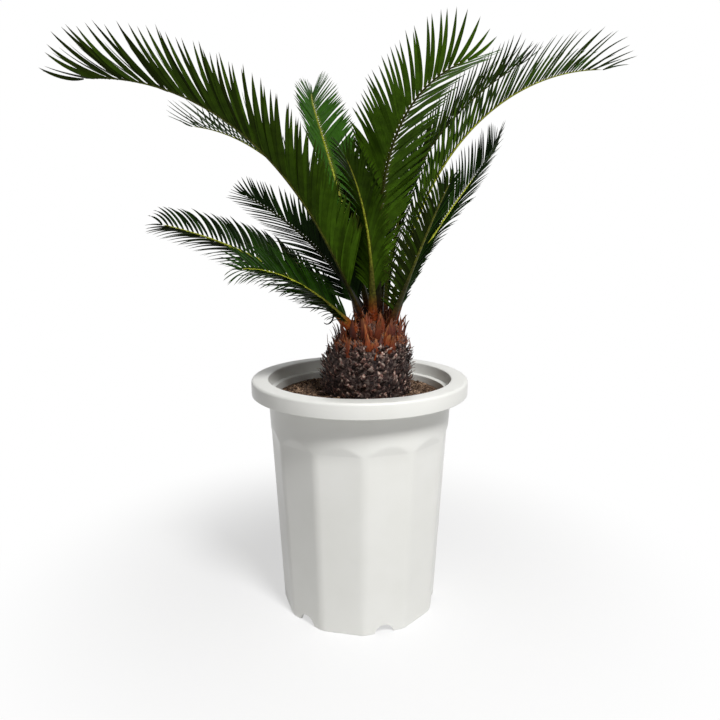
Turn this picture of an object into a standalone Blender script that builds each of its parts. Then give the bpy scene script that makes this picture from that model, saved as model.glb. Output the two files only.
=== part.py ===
"""Potted sago palm (Cycas revoluta) in a plastic pot with twelve flat sides.

Metres, +Z up. The pot stands on Z = 0 and its front is towards -Y. Headings are degrees
anticlockwise from +X, seen from above.
"""

import math
from collections import namedtuple

import bmesh
import bpy
from mathutils import Matrix, Vector
from mathutils.bvhtree import BVHTree

UP = Vector((0.0, 0.0, 1.0))

# The pot's axis, from the middle of the ground that pot and fronds cover
POT_AXIS = Vector((0.007, -0.036, 0.0))
GAP = 0.0003
SEAT_STEPS = 5

# Pot: a round rim and collar over a body with flat sides, on a ring foot with arched notches
POT_HEIGHT = 0.2766
POT_SIDES = 12
POT_TURN = 2.87
COLUMNS_A_SIDE = 6
FOOT_RADIUS = 0.0922
COLLAR_RADIUS = 0.1043
COLLAR_BOTTOM = 0.228
FLAT_TOP = 0.212
FLAT_RISE = 0.0040
FLAT_STEPS = 4
WAIST_HEIGHT = 0.11
CORNER_SOFTNESS = 0.0009
FOOT_CHAMFER = 0.0012
FOOT_WALL = 0.0035
RIM_RADIUS = 0.125
RIM_SKIRT = 0.0173
RIM_THICKNESS = 0.0035
RIM_ROUNDING = 0.0030
SKIRT_CHAMFER = 0.0008
MOUTH_RADIUS = 0.1057
MOUTH_CHAMFER = 0.0011
LEDGE_HEIGHT = 0.2625
LEDGE_SLOPE = 0.0008
LEDGE_RADIUS = 0.1037
WALL_TOP_RADIUS = 0.0992
FLOOR_RADIUS = 0.0870
FLOOR_UNDERSIDE = 0.0120
FLOOR_TOP = 0.0155
NOTCH_COUNT = 6
NOTCH_RADIUS = 0.0115
NOTCH_CENTRE = -0.0015
NOTCH_LENGTH = 0.03
NOTCH_SIDES = 32
DRAIN_RADIUS = 0.014
SIDE_DRAIN_RADIUS = 0.007
SIDE_DRAIN_RING = 0.055
DRAIN_LENGTH = 0.02
DRAIN_SIDES = 24

# Soil: level at the wall and mounded against the trunk
SOIL_HEIGHT = 0.2545
SOIL_MOUND = 0.0030
SOIL_RINGS = 5
SOIL_COLUMNS = 48

# Trunk (caudex): radius and height down its outline, from the crown to the buried end
TRUNK_OUTLINE = (
    (0.000, 0.3450),
    (0.012, 0.3435),
    (0.024, 0.3360),
    (0.034, 0.3250),
    (0.044, 0.3110),
    (0.0495, 0.2950),
    (0.0505, 0.2750),
    (0.0480, 0.2560),
    (0.0440, 0.2350),
    (0.0300, 0.2120),
    (0.000, 0.2050),
)
TRUNK_SEGMENTS = 48
TRUNK_RINGS = 30
TRUNK_OFFSET = 0.008
CROWN_OFFSET = 0.016
LEAN_START = 0.285
LEAN_END = 0.335
LEAF_BASE_HEIGHT = 0.0032
LEAF_BASE_SPIRALS = 8
LEAF_BASE_PITCH = 0.016
LEAF_BASE_BOTTOM = 0.264
LEAF_BASE_TOP = 0.318
LEAF_BASE_FADE = 0.006

# Fronds. seat: degrees and metres from the crown's middle. heading, rise: the way the stalk
# starts. dip: the slope at the tip. bend: above 1 keeps the bend near the tip. sway: how far
# the heading turns by the tip. roll: turn about the midrib. valley: how far the two rows of
# leaflets stand up from flat. leaflet: the longest one. last: its share left at the tip.
Frond = namedtuple(
    "Frond", "name seat heading rise dip bend length sway roll valley leaflet last"
)
FRONDS = (
    Frond("frond_left_long", (215, 0.0155), 195, 67, -14, 1.9, 0.403, 6, 0, 48, 0.080, 0.8),
    Frond("frond_left_back", (150, 0.020), 150, 79, 8, 1.0, 0.364, 0, 0, 40, 0.055, 0.5),
    Frond("frond_left_upper", (170, 0.0095), 165, 65, 25, 0.8, 0.220, 50, 0, 38, 0.058, 0.5),
    Frond("frond_left_low", (188, 0.026), 172, 47, 12, 0.8, 0.259, 0, 0, 42, 0.055, 0.35),
    Frond("frond_left_front", (222, 0.027), 215, 42, 0, 2.0, 0.162, 0, -35, 15, 0.045, 0.3),
    Frond("frond_back", (105, 0.0125), 135, 70, 3, 2.3, 0.400, -50, 0, 30, 0.065, 0.35),
    Frond("frond_back_right", (60, 0.022), 62, 76, 20, 1.5, 0.300, 0, 0, 40, 0.065, 0.5),
    Frond("frond_back_low", (100, 0.024), 100, 50, 5, 1.3, 0.250, 0, 0, 30, 0.055, 0.4),
    Frond("frond_centre", (265, 0.0125), 260, 86, 55, 1.0, 0.182, -34, 0, 30, 0.060, 0.6),
    Frond("frond_front_tall", (335, 0.005), 270, 86, 8, 1.7, 0.318, 50, 0, 40, 0.075, 0.7),
    Frond("frond_right_tall", (50, 0.0115), 15, 86, 23, 1.5, 0.325, -50, 0, 40, 0.075, 0.5),
    Frond("frond_right_long", (350, 0.017), 18, 77, -5, 1.8, 0.405, -23, 0, 48, 0.075, 0.6),
    Frond("frond_right_short", (22, 0.024), 13, 76, 32, 0.8, 0.281, 48, 0, 35, 0.055, 0.4),
    Frond("frond_right_front", (318, 0.024), 308, 61, 47, 2.8, 0.180, -12, 0, 25, 0.050, 0.5),
)
STALK_RADIUS = 0.0044
STALK_SHARE = 0.16
STALK_STEPS = 4
RACHIS_RADIUS = 0.0024
RACHIS_TIP_RADIUS = 0.0008
LEAFLET_SPACING = 0.008
LEAFLET_SWING = 80.0
TIP_SWING = 32.0
SHORTEST_LEAFLET = 0.2
REACH_STEP = 0.7

# Scale leaves: pointed, woolly, in a ring outside the frond stalks
SCALE_LEAF_COUNT = 16
SCALE_LEAF_TURN = 7.5
SCALE_LEAF_RING = 0.0370
SCALE_LEAF_LENGTH = 0.030
SCALE_LEAF_RADIUS = 0.0024
SCALE_LEAF_RISE = 62
SCALE_LEAF_DIP = 84
SCALE_LEAF_STEPS = 5


def smooth(value, start, end):
    """0 before start, 1 after end and an S-shaped rise between them."""
    t = min(max((value - start) / (end - start), 0.0), 1.0)
    return t * t * (3.0 - 2.0 * t)


def polar(radius, degrees, height=0.0):
    angle = math.radians(degrees)
    return Vector((radius * math.cos(angle), radius * math.sin(angle), height))


def slope_vector(heading, rise):
    """The unit vector at a heading and a rise above the level, both in degrees."""
    return polar(math.cos(math.radians(rise)), heading, math.sin(math.radians(rise)))


def new_collection(name):
    collection = bpy.data.collections.new(name)
    bpy.context.scene.collection.children.link(collection)
    return collection


def new_material(name, colour, roughness):
    material = bpy.data.materials.new(name)
    material.use_nodes = True
    shader = material.node_tree.nodes["Principled BSDF"]
    shader.inputs["Base Color"].default_value = (*colour, 1.0)
    shader.inputs["Roughness"].default_value = roughness
    return material


def add_object(name, data, collection, parent=None, material=None):
    obj = bpy.data.objects.new(name, data)
    collection.objects.link(obj)
    obj.parent = parent
    if material:
        obj.data.materials.append(material)
    return obj


def mesh_from(bm, name):
    bmesh.ops.recalc_face_normals(bm, faces=bm.faces)
    if bm.calc_volume(signed=True) < 0.0:
        bmesh.ops.reverse_faces(bm, faces=bm.faces)
    mesh = bpy.data.meshes.new(name)
    bm.to_mesh(mesh)
    bm.free()
    return mesh


def cut(obj, cutter):
    modifier = obj.modifiers.new(f"cut_{cutter.name}", "BOOLEAN")
    modifier.operation = "DIFFERENCE"
    modifier.solver = "EXACT"
    modifier.object = cutter


def add_cutter(obj, collection, parent):
    """File a new mesh object as a hidden cutter that moves with the pot."""
    for other in obj.users_collection:
        other.objects.unlink(obj)
    collection.objects.link(obj)
    obj.parent = parent
    obj.hide_render = True
    obj.display_type = "WIRE"


def collar_radius(height):
    """The cone that the pot's corners lie on."""
    return FOOT_RADIUS + (COLLAR_RADIUS - FOOT_RADIUS) * height / COLLAR_BOTTOM


def body_radius(degrees, height):
    """Radius of the pot's outside: the cone, cut back by twelve flats under the collar.

    The flats lean out to meet the collar, so that each one ends in an arch.
    """
    cone = collar_radius(height)
    half_side = 180.0 / POT_SIDES
    from_middle = (degrees - POT_TURN) % (2.0 * half_side) - half_side
    lean = FLAT_RISE * max(0.0, height - FLAT_TOP) / (COLLAR_BOTTOM - FLAT_TOP)
    flat = cone * math.cos(math.radians(half_side)) + lean
    flat /= math.cos(math.radians(from_middle))
    blend = max(CORNER_SOFTNESS - abs(cone - flat), 0.0) / CORNER_SOFTNESS
    return min(cone, flat) - 0.25 * CORNER_SOFTNESS * blend * blend


def wall_radius(height):
    """The pot's inside, below its ledge."""
    share = (height - FLOOR_TOP) / (LEDGE_HEIGHT - FLOOR_TOP)
    return FLOOR_RADIUS + (WALL_TOP_RADIUS - FLOOR_RADIUS) * share


def pot_rings():
    """(radius or None, height) from the floor inside, over the rim, to the foot.

    None stands for the outside of the body, which isn't round.
    """
    rounding = RIM_ROUNDING * (1.0 - math.sqrt(0.5))
    skirt_bottom = POT_HEIGHT - RIM_SKIRT
    rings = [
        (FLOOR_RADIUS, FLOOR_TOP),
        (WALL_TOP_RADIUS, LEDGE_HEIGHT),
        (LEDGE_RADIUS, LEDGE_HEIGHT + LEDGE_SLOPE),
        (MOUTH_RADIUS, POT_HEIGHT - MOUTH_CHAMFER),
        (MOUTH_RADIUS + MOUTH_CHAMFER, POT_HEIGHT),
        (RIM_RADIUS - RIM_ROUNDING, POT_HEIGHT),
        (RIM_RADIUS - rounding, POT_HEIGHT - rounding),
        (RIM_RADIUS, POT_HEIGHT - RIM_ROUNDING),
        (RIM_RADIUS, skirt_bottom + SKIRT_CHAMFER),
        (RIM_RADIUS - SKIRT_CHAMFER, skirt_bottom),
        (RIM_RADIUS - RIM_THICKNESS, skirt_bottom),
        (RIM_RADIUS - RIM_THICKNESS, POT_HEIGHT - RIM_THICKNESS),
        (None, POT_HEIGHT - RIM_THICKNESS),
        (None, COLLAR_BOTTOM),
    ]
    for step in range(1, FLAT_STEPS + 1):
        share = step / FLAT_STEPS
        rings.append((None, COLLAR_BOTTOM + (FLAT_TOP - COLLAR_BOTTOM) * share))
    rings += [(None, WAIST_HEIGHT), (None, FOOT_CHAMFER)]
    return rings


def make_pot(collection, cutters, parent, material):
    """A loft from a twelve-sided foot to a round rim, with the inside of its walls."""
    columns = POT_SIDES * COLUMNS_A_SIDE
    bearings = [POT_TURN - 90.0 + 360.0 * i / columns for i in range(columns)]
    bm = bmesh.new()

    def ring(radius, height, inset=0.0):
        corners = []
        for bearing in bearings:
            r = body_radius(bearing + 90.0, height) if radius is None else radius
            corners.append(bm.verts.new(polar(r - inset, bearing, height)))
        return corners

    loops = [ring(radius, height) for radius, height in pot_rings()]
    loops.append(ring(None, 0.0, FOOT_CHAMFER))
    loops.append(ring(None, 0.0, FOOT_WALL))
    loops.append(ring(FOOT_RADIUS - 2.0 * FOOT_WALL, FLOOR_UNDERSIDE))
    for low, high in zip(loops, loops[1:]):
        for i in range(columns):
            j = (i + 1) % columns
            bm.faces.new((low[i], low[j], high[j], high[i]))
    bm.faces.new(loops[0])
    bm.faces.new(loops[-1])
    pot = add_object("pot", mesh_from(bm, "pot"), collection, parent, material)

    for i in range(NOTCH_COUNT):
        bearing = POT_TURN - 90.0 + 180.0 / POT_SIDES + 360.0 * i / NOTCH_COUNT
        bpy.ops.mesh.primitive_cylinder_add(
            vertices=NOTCH_SIDES,
            radius=NOTCH_RADIUS,
            depth=NOTCH_LENGTH,
            location=polar(FOOT_RADIUS, bearing, NOTCH_CENTRE),
            rotation=(0.0, math.pi / 2.0, math.radians(bearing)),
        )
        notch = bpy.context.object
        notch.name = f"foot_notch_{i + 1}"
        add_cutter(notch, cutters, parent)
        cut(pot, notch)

    holes = [(DRAIN_RADIUS, Vector())]
    for i in range(NOTCH_COUNT):
        bearing = POT_TURN - 90.0 + 360.0 * i / NOTCH_COUNT
        holes.append((SIDE_DRAIN_RADIUS, polar(SIDE_DRAIN_RING, bearing)))
    for i, (radius, place) in enumerate(holes):
        bpy.ops.mesh.primitive_cylinder_add(
            vertices=DRAIN_SIDES,
            radius=radius,
            depth=DRAIN_LENGTH,
            location=place + UP * FLOOR_TOP,
        )
        hole = bpy.context.object
        hole.name = f"drain_hole_{i + 1}"
        add_cutter(hole, cutters, parent)
        cut(pot, hole)
    return pot


def outline_point(share):
    """(radius, height) at a share of the way down the trunk's outline, by Catmull-Rom."""
    last = len(TRUNK_OUTLINE) - 1
    position = min(share * last, last - 1e-9)
    i = int(position)
    t = position - i
    a, b, c, d = (
        Vector(TRUNK_OUTLINE[min(max(j, 0), last)]) for j in range(i - 1, i + 3)
    )
    line = 2.0 * b + (c - a) * t
    line += (2.0 * a - 5.0 * b + 4.0 * c - d) * t**2 + (3.0 * (b - c) + d - a) * t**3
    return max(line[0] / 2.0, 0.0), line[1] / 2.0


def leaf_base_bump(angle, height):
    """Height of the old leaf bases, which stand in two crossing sets of spirals."""
    climb = math.pi * height / LEAF_BASE_PITCH
    left = math.cos(LEAF_BASE_SPIRALS * angle + climb)
    right = math.cos(LEAF_BASE_SPIRALS * angle - climb)
    fade = smooth(height, LEAF_BASE_BOTTOM - LEAF_BASE_FADE, LEAF_BASE_BOTTOM)
    fade *= 1.0 - smooth(height, LEAF_BASE_TOP, LEAF_BASE_TOP + LEAF_BASE_FADE)
    return LEAF_BASE_HEIGHT * fade * max(0.0, left * right)


def make_trunk_mesh(name, grow=0.0, bumps=True):
    """A sphere drawn out to the trunk's outline; grow makes it larger all round."""
    bm = bmesh.new()
    bmesh.ops.create_uvsphere(
        bm, u_segments=TRUNK_SEGMENTS, v_segments=TRUNK_RINGS, radius=1.0
    )
    for vert in bm.verts:
        share = math.acos(min(max(vert.co.z, -1.0), 1.0)) / math.pi
        angle = math.atan2(vert.co.y, vert.co.x)
        radius, height = outline_point(share)
        if bumps and radius > 0.0:
            radius += leaf_base_bump(angle, height)
        lean = smooth(height, LEAN_START, LEAN_END)
        middle = TRUNK_OFFSET + (CROWN_OFFSET - TRUNK_OFFSET) * lean
        radius += grow
        height += grow * vert.co.z
        vert.co = (middle + radius * math.cos(angle), radius * math.sin(angle), height)
        if radius <= grow:
            vert.co = (middle, 0.0, height)
    return mesh_from(bm, name)


def make_soil(collection, cutters, parent, material):
    """A turned plug of soil, with a socket for the trunk."""
    bm = bmesh.new()
    outline = [(0.0, SOIL_HEIGHT + SOIL_MOUND)]
    edge = wall_radius(SOIL_HEIGHT) - GAP
    for i in range(1, SOIL_RINGS + 1):
        radius = edge * i / SOIL_RINGS
        mound = SOIL_MOUND * (1.0 - smooth(radius, 0.4 * edge, edge))
        outline.append((radius, SOIL_HEIGHT + mound))
    outline.append((FLOOR_RADIUS - GAP, FLOOR_TOP + GAP))
    outline.append((0.0, FLOOR_TOP + GAP))
    corners = [bm.verts.new((radius, 0.0, height)) for radius, height in outline]
    for start, end in zip(corners, corners[1:]):
        bm.edges.new((start, end))
    mesh = bpy.data.meshes.new("soil")
    bm.to_mesh(mesh)
    bm.free()
    soil = add_object("soil", mesh, collection, parent, material)
    turn = soil.modifiers.new("turn", "SCREW")
    turn.steps = SOIL_COLUMNS
    turn.render_steps = SOIL_COLUMNS
    turn.use_merge_vertices = True
    turn.merge_threshold = 0.00001
    turn.use_normal_calculate = True
    socket = bpy.data.objects.new(
        "trunk_socket", make_trunk_mesh("trunk_socket", grow=GAP, bumps=False)
    )
    add_cutter(socket, cutters, parent)
    cut(soil, socket)
    return soil


def seat(crown, degrees, radius, direction, base_radius):
    """The middle of a stalk's base, square to direction and GAP off the crown."""
    above = Vector((CROWN_OFFSET, 0.0, POT_HEIGHT * 2.0)) + polar(radius, degrees)
    place = crown.ray_cast(above, -UP)[0]
    right = direction.cross(UP).normalized()
    over = right.cross(direction)
    corners = [side * base_radius for side in (right, -right, over, -over)]
    start = place + direction * base_radius
    for _ in range(SEAT_STEPS):
        nearest = min(crown.find_nearest(start + corner)[3] for corner in corners)
        start -= direction * (nearest - GAP)
    return start


def frond_slope(frond, share):
    rise = frond.rise + (frond.dip - frond.rise) * share**frond.bend
    return slope_vector(frond.heading + frond.sway * share**1.5, rise)


def rachis_line(frond, start, shares):
    """Points along the midrib at shares of its length."""
    points = [start]
    for before, after in zip(shares, shares[1:]):
        step = frond_slope(frond, (before + after) / 2.0)
        points.append(points[-1] + step * frond.length * (after - before))
    return points


def frond_shares(frond):
    """Stations along the midrib: a few on the bare stalk, then one for each leaflet."""
    count = round(frond.length * (1.0 - STALK_SHARE) / LEAFLET_SPACING)
    stalk = [STALK_SHARE * i / STALK_STEPS for i in range(STALK_STEPS)]
    blade = [STALK_SHARE + (1.0 - STALK_SHARE) * i / count for i in range(count + 1)]
    return stalk + blade


def rachis_radius(share):
    if share < STALK_SHARE:
        return STALK_RADIUS + (RACHIS_RADIUS - STALK_RADIUS) * share / STALK_SHARE
    along = (share - STALK_SHARE) / (1.0 - STALK_SHARE)
    return RACHIS_RADIUS + (RACHIS_TIP_RADIUS - RACHIS_RADIUS) * along


def tube_mesh(name, points, radii, tilt):
    """A closed four-sided tube through the points, with one edge up."""
    curve = bpy.data.curves.new(name, "CURVE")
    curve.dimensions = "3D"
    curve.twist_mode = "Z_UP"
    curve.bevel_depth = 1.0
    curve.bevel_resolution = 0
    curve.use_fill_caps = True
    spline = curve.splines.new("POLY")
    spline.points.add(len(points) - 1)
    for knot, point, radius in zip(spline.points, points, radii):
        knot.co = (*point, 1.0)
        knot.radius = radius
        knot.tilt = tilt
    obj = bpy.data.objects.new(name, curve)
    bpy.context.scene.collection.objects.link(obj)
    bpy.context.view_layer.update()
    evaluated = obj.evaluated_get(bpy.context.evaluated_depsgraph_get())
    mesh = bpy.data.meshes.new_from_object(evaluated)
    bm = bmesh.new()
    bm.from_mesh(mesh)
    bmesh.ops.remove_doubles(bm, verts=bm.verts, dist=0.00001)
    bpy.data.objects.remove(obj)
    bpy.data.curves.remove(curve)
    bpy.data.meshes.remove(mesh)
    return bm


def leaflet_tip(frond, share, row):
    """Where a leaflet's tip lies from its foot: row is 1 on the right and -1 on the left."""
    along = frond_slope(frond, share)
    right = along.cross(UP).normalized()
    roll = Matrix.Rotation(math.radians(frond.roll), 3, along)
    right = roll @ right
    over = right.cross(along)
    place = (share - STALK_SHARE) / (1.0 - STALK_SHARE)
    swing = math.radians(LEAFLET_SWING + (TIP_SWING - LEAFLET_SWING) * place)
    valley = math.radians(frond.valley)
    out = right * row * math.cos(valley) + over * math.sin(valley)
    size = frond.leaflet * (0.25 + 0.75 * smooth(place, -0.1, 0.4))
    size *= 1.0 - (1.0 - frond.last) * smooth(place, 0.5, 1.0)
    return (along * math.cos(swing) + out * math.sin(swing)) * size


def leaflet_faces(bm, frond, shares, points):
    """The faces that leaflets grow from: {(station, row): face}."""
    faces = {}
    first = STALK_STEPS
    for face in bm.faces:
        centre = face.calc_center_median()
        nearest = min(
            range(first, len(points) - 1),
            key=lambda i: (centre - (points[i] + points[i + 1]) / 2.0).length,
        )
        middle = (points[nearest] + points[nearest + 1]) / 2.0
        share = (shares[nearest] + shares[nearest + 1]) / 2.0
        if (centre - middle).length > LEAFLET_SPACING / 2.0:
            continue
        for row in (-1, 1):
            out = leaflet_tip(frond, share, row).normalized()
            right = leaflet_tip(frond, share, 1) - leaflet_tip(frond, share, -1)
            over = leaflet_tip(frond, share, 1) + leaflet_tip(frond, share, -1)
            over -= over.project(frond_slope(frond, share))
            if (
                face.normal.dot(over) > 0.0
                and face.normal.dot(right) * row > 0.0
                and face.normal.dot(out) > 0.1
                and abs(face.normal.dot(frond_slope(frond, share))) < 0.6
            ):
                faces[nearest, row] = face
    return faces


def grow_frond(frond, start, reach):
    """The frond's mesh, and the leaflet that each of its faces belongs to.

    reach holds the share of its full length that each leaflet gets.
    """
    shares = frond_shares(frond)
    points = rachis_line(frond, start, shares)
    radii = [rachis_radius(share) for share in shares]
    bm = tube_mesh(frond.name, points, radii, math.radians(frond.roll))
    bmesh.ops.recalc_face_normals(bm, faces=bm.faces)
    owners = bm.faces.layers.int.new("leaflet")
    keys = []
    for key, face in leaflet_faces(bm, frond, shares, points).items():
        if reach.get(key, 1.0) < SHORTEST_LEAFLET:
            continue
        station, row = key
        share = (shares[station] + shares[station + 1]) / 2.0
        tip = face.calc_center_median()
        tip += leaflet_tip(frond, share, row) * reach.get(key, 1.0)
        keys.append(key)
        grown = bmesh.ops.poke(bm, faces=[face])
        grown["verts"][0].co = tip
        for side in grown["faces"]:
            side[owners] = len(keys)
    return bm, keys, owners


def grow_clear_frond(frond, start, others):
    """Shorten the leaflets that would touch another frond until they are clear."""
    reach = {}
    while True:
        bm, keys, owners = grow_frond(frond, start, reach)
        bm.faces.ensure_lookup_table()
        tree = BVHTree.FromBMesh(bm)
        touching = set()
        for other in others:
            for face, _ in tree.overlap(other):
                touching.add(bm.faces[face][owners])
        touching.discard(0)
        if not touching:
            return bm, tree
        for number in touching:
            key = keys[number - 1]
            reach[key] = reach.get(key, 1.0) * REACH_STEP
        bm.free()


def make_fronds(crown, collection, parent, material):
    starts = {}
    trees = {}
    for frond in FRONDS:
        angle, radius = frond.seat
        direction = frond_slope(frond, 0.0)
        starts[frond.name] = seat(crown, angle, radius, direction, STALK_RADIUS)
        shares = frond_shares(frond)
        points = rachis_line(frond, starts[frond.name], shares)
        radii = [rachis_radius(share) for share in shares]
        bare = tube_mesh(frond.name, points, radii, math.radians(frond.roll))
        trees[frond.name] = BVHTree.FromBMesh(bare)
        bare.free()
    for frond in FRONDS:
        others = [tree for name, tree in trees.items() if name != frond.name]
        bm, trees[frond.name] = grow_clear_frond(frond, starts[frond.name], others)
        mesh = mesh_from(bm, frond.name)
        add_object(frond.name, mesh, collection, parent, material)


def make_scale_leaves(crown, collection, parent, material):
    """Tapered points in a ring on the trunk's shoulder."""
    for i in range(SCALE_LEAF_COUNT):
        bearing = SCALE_LEAF_TURN + 360.0 * i / SCALE_LEAF_COUNT
        direction = slope_vector(bearing, SCALE_LEAF_RISE)
        point = seat(crown, bearing, SCALE_LEAF_RING, direction, SCALE_LEAF_RADIUS)
        points = [point]
        for step in range(SCALE_LEAF_STEPS):
            share = (step + 0.5) / SCALE_LEAF_STEPS
            rise = SCALE_LEAF_RISE + (SCALE_LEAF_DIP - SCALE_LEAF_RISE) * share
            step_length = SCALE_LEAF_LENGTH / SCALE_LEAF_STEPS
            points.append(points[-1] + slope_vector(bearing, rise) * step_length)
        shares = [step / SCALE_LEAF_STEPS for step in range(SCALE_LEAF_STEPS + 1)]
        radii = [SCALE_LEAF_RADIUS * (1.0 - 0.9 * share**1.5) for share in shares]
        name = f"scale_leaf_{i + 1:02d}"
        bm = tube_mesh(name, points, radii, 0.0)
        add_object(name, mesh_from(bm, name), collection, parent, material)


def main():
    for obj in list(bpy.data.objects):
        bpy.data.objects.remove(obj, do_unlink=True)
    palm = new_collection("potted_sago_palm")
    cutters = new_collection("cutters")
    axis = bpy.data.objects.new("pot_axis", None)
    axis.location = POT_AXIS
    palm.objects.link(axis)

    pot_white = new_material("moulded_polypropylene", (0.86, 0.86, 0.83), 0.35)
    soil_brown = new_material("potting_soil", (0.10, 0.055, 0.032), 0.95)
    trunk_dark = new_material("trunk_leaf_bases", (0.035, 0.018, 0.018), 0.85)
    leaf_green = new_material("leathery_leaf", (0.035, 0.085, 0.010), 0.40)
    wool_rust = new_material("woolly_scale_leaf", (0.25, 0.085, 0.025), 0.85)

    make_pot(palm, cutters, axis, pot_white)
    make_soil(palm, cutters, axis, soil_brown)
    trunk = add_object("trunk", make_trunk_mesh("trunk"), palm, axis, trunk_dark)
    surface = bmesh.new()
    surface.from_mesh(trunk.data)
    crown = BVHTree.FromBMesh(surface)
    surface.free()
    make_scale_leaves(crown, palm, axis, wool_rust)
    make_fronds(crown, palm, axis, leaf_green)


main()
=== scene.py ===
"""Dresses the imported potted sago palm: leaflets, leaf bases, wool, soil and the moulded pot.

Metres, +Z up, front towards -Y. Headings are degrees anticlockwise from +X, seen from above.
"""

import math
import random
from collections import namedtuple

import bmesh
import bpy
from bpy.props import FloatProperty, FloatVectorProperty, IntProperty, PointerProperty
from mathutils import Matrix, Vector, noise
from mathutils.bvhtree import BVHTree


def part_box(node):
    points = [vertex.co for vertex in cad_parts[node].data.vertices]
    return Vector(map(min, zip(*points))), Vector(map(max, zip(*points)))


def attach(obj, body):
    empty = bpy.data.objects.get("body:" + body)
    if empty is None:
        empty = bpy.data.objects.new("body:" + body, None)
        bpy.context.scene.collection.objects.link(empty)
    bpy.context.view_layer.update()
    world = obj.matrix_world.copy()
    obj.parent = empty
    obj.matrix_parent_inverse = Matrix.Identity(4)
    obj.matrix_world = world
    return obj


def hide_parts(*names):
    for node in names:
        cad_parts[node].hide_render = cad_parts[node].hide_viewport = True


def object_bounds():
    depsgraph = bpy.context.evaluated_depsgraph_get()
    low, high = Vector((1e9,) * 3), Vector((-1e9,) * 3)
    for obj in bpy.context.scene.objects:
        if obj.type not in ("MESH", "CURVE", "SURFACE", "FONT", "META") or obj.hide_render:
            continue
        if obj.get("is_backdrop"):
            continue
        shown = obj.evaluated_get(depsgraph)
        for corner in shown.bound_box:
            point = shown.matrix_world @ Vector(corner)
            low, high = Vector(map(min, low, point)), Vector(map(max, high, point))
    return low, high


bl_info = {
    "name": "Potted sago palm",
    "version": (1, 0, 0),
    "blender": (4, 5, 0),
    "location": "3D View > Sidebar > Sago palm",
    "description": "Makes the visible pieces of a potted sago palm around its solids",
    "category": "Add Mesh",
}

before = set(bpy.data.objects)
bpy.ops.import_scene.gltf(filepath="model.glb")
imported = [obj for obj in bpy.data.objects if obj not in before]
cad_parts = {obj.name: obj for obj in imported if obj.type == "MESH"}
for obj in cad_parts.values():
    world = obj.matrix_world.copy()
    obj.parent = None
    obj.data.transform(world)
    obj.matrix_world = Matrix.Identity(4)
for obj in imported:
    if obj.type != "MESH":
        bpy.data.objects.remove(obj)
CAD_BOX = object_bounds()

ACROSS = Vector((1.0, 0.0, 0.0))
BACK = Vector((0.0, 1.0, 0.0))
UP = Vector((0.0, 0.0, 1.0))
MM = 0.001
# Degrees between one leaf of a spiral and the next
GOLDEN_ANGLE = 137.508

# Pot: its axis, height and rim come from its solid
POT_LOW, POT_HIGH = (Vector(corner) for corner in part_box("pot"))
POT_AXIS = Vector(((POT_LOW.x + POT_HIGH.x) / 2, (POT_LOW.y + POT_HIGH.y) / 2, 0.0))
POT_HEIGHT = POT_HIGH.z
RIM_RADIUS = (POT_HIGH.x - POT_LOW.x) / 2
POT_SIDES = 12
# Heading of its corner nearest the front
POT_CORNER = -87.13
# Its body is a cone from the foot to the round collar, cut back by flats that lean out at their
# tops; a strip of the cone stays at each corner
FOOT_RADIUS = 0.0922
COLLAR_RADIUS = 0.1043
COLLAR_BOTTOM = 0.228
FLAT_TOP = 0.212
FLAT_RISE = 0.0040
CORNER_SOFTNESS = 0.0005
CORNER_STRIP = 0.0060
FOOT_CHAMFER = 0.0012
CHAMFER_STEP = 0.00035
FOOT_WALL = 0.0035
# Height of the lowest band of faces above the foot's chamfer
FOOT_BAND = 0.0020
# Its rim, with a skirt outside, and its inside: the mouth, a ledge, the wall and the floor
RIM_SKIRT = 0.0173
RIM_THICKNESS = 0.0035
RIM_ROUNDING = 0.0030
SKIRT_ROUNDING = 0.0008
SKIRT_FILLET = 0.0010
MOUTH_RADIUS = 0.1057
MOUTH_ROUNDING = 0.0015
MOUTH_TAPER = 0.0002
MOUTH_DEPTH = 0.0040
LEDGE_HEIGHT = 0.2625
LEDGE_RADIUS = 0.1037
LEDGE_SLOPE = 0.0008
LEDGE_FILLET = 0.0005
WALL_TOP_RADIUS = 0.0992
WALL_FILLET = 0.0015
SMALL_CORNER = 0.0004
POT_FLOOR_RADIUS = 0.0870
POT_FLOOR_UNDERSIDE = 0.0120
POT_FLOOR_TOP = 0.0155
# Arched notches in its foot and drain holes in its floor
NOTCH_COUNT = 6
NOTCH_RADIUS = 0.0115
NOTCH_CENTRE = -0.0015
NOTCH_REACH = 0.015
NOTCH_COLUMNS = 48
DRAIN_RADIUS = 0.014
SIDE_DRAIN_RADIUS = 0.007
SIDE_DRAIN_RING = 0.055
DRAIN_REACH = 0.01
DRAIN_COLUMNS = 32
# How brown the inside wall is just above the soil, and how far up that fades
DUST_LEVEL = 0.35
DUST_START = 0.001
DUST_END = 0.006

# Soil: domed a little in the middle, with loose crumbs on it
SOIL_HEIGHT = 0.2545
SOIL_MOUND = 0.0030
SOIL_DEPTH = 0.010
SOIL_GAP = 0.0003
SOIL_RINGS = 40
SOIL_COLUMNS = 160
# Large and small lumps in the surface: the distance between them and how high they stand
SOIL_LUMPS = (1.0 / 60.0, 0.0015)
SOIL_CRUMBLE = (1.0 / 260.0, 0.0009)
CRUMB_SMALLEST = 0.0011
CRUMB_SPREAD = 0.0029
CRUMB_SIDES = 5

# Trunk: radius and height down its outline, from the crown to below the soil
TRUNK_OUTLINE = (
    (0.000, 0.3450),
    (0.012, 0.3435),
    (0.024, 0.3360),
    (0.034, 0.3250),
    (0.044, 0.3110),
    (0.0495, 0.2950),
    (0.0505, 0.2750),
    (0.0480, 0.2560),
    (0.0440, 0.2350),
)
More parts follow.
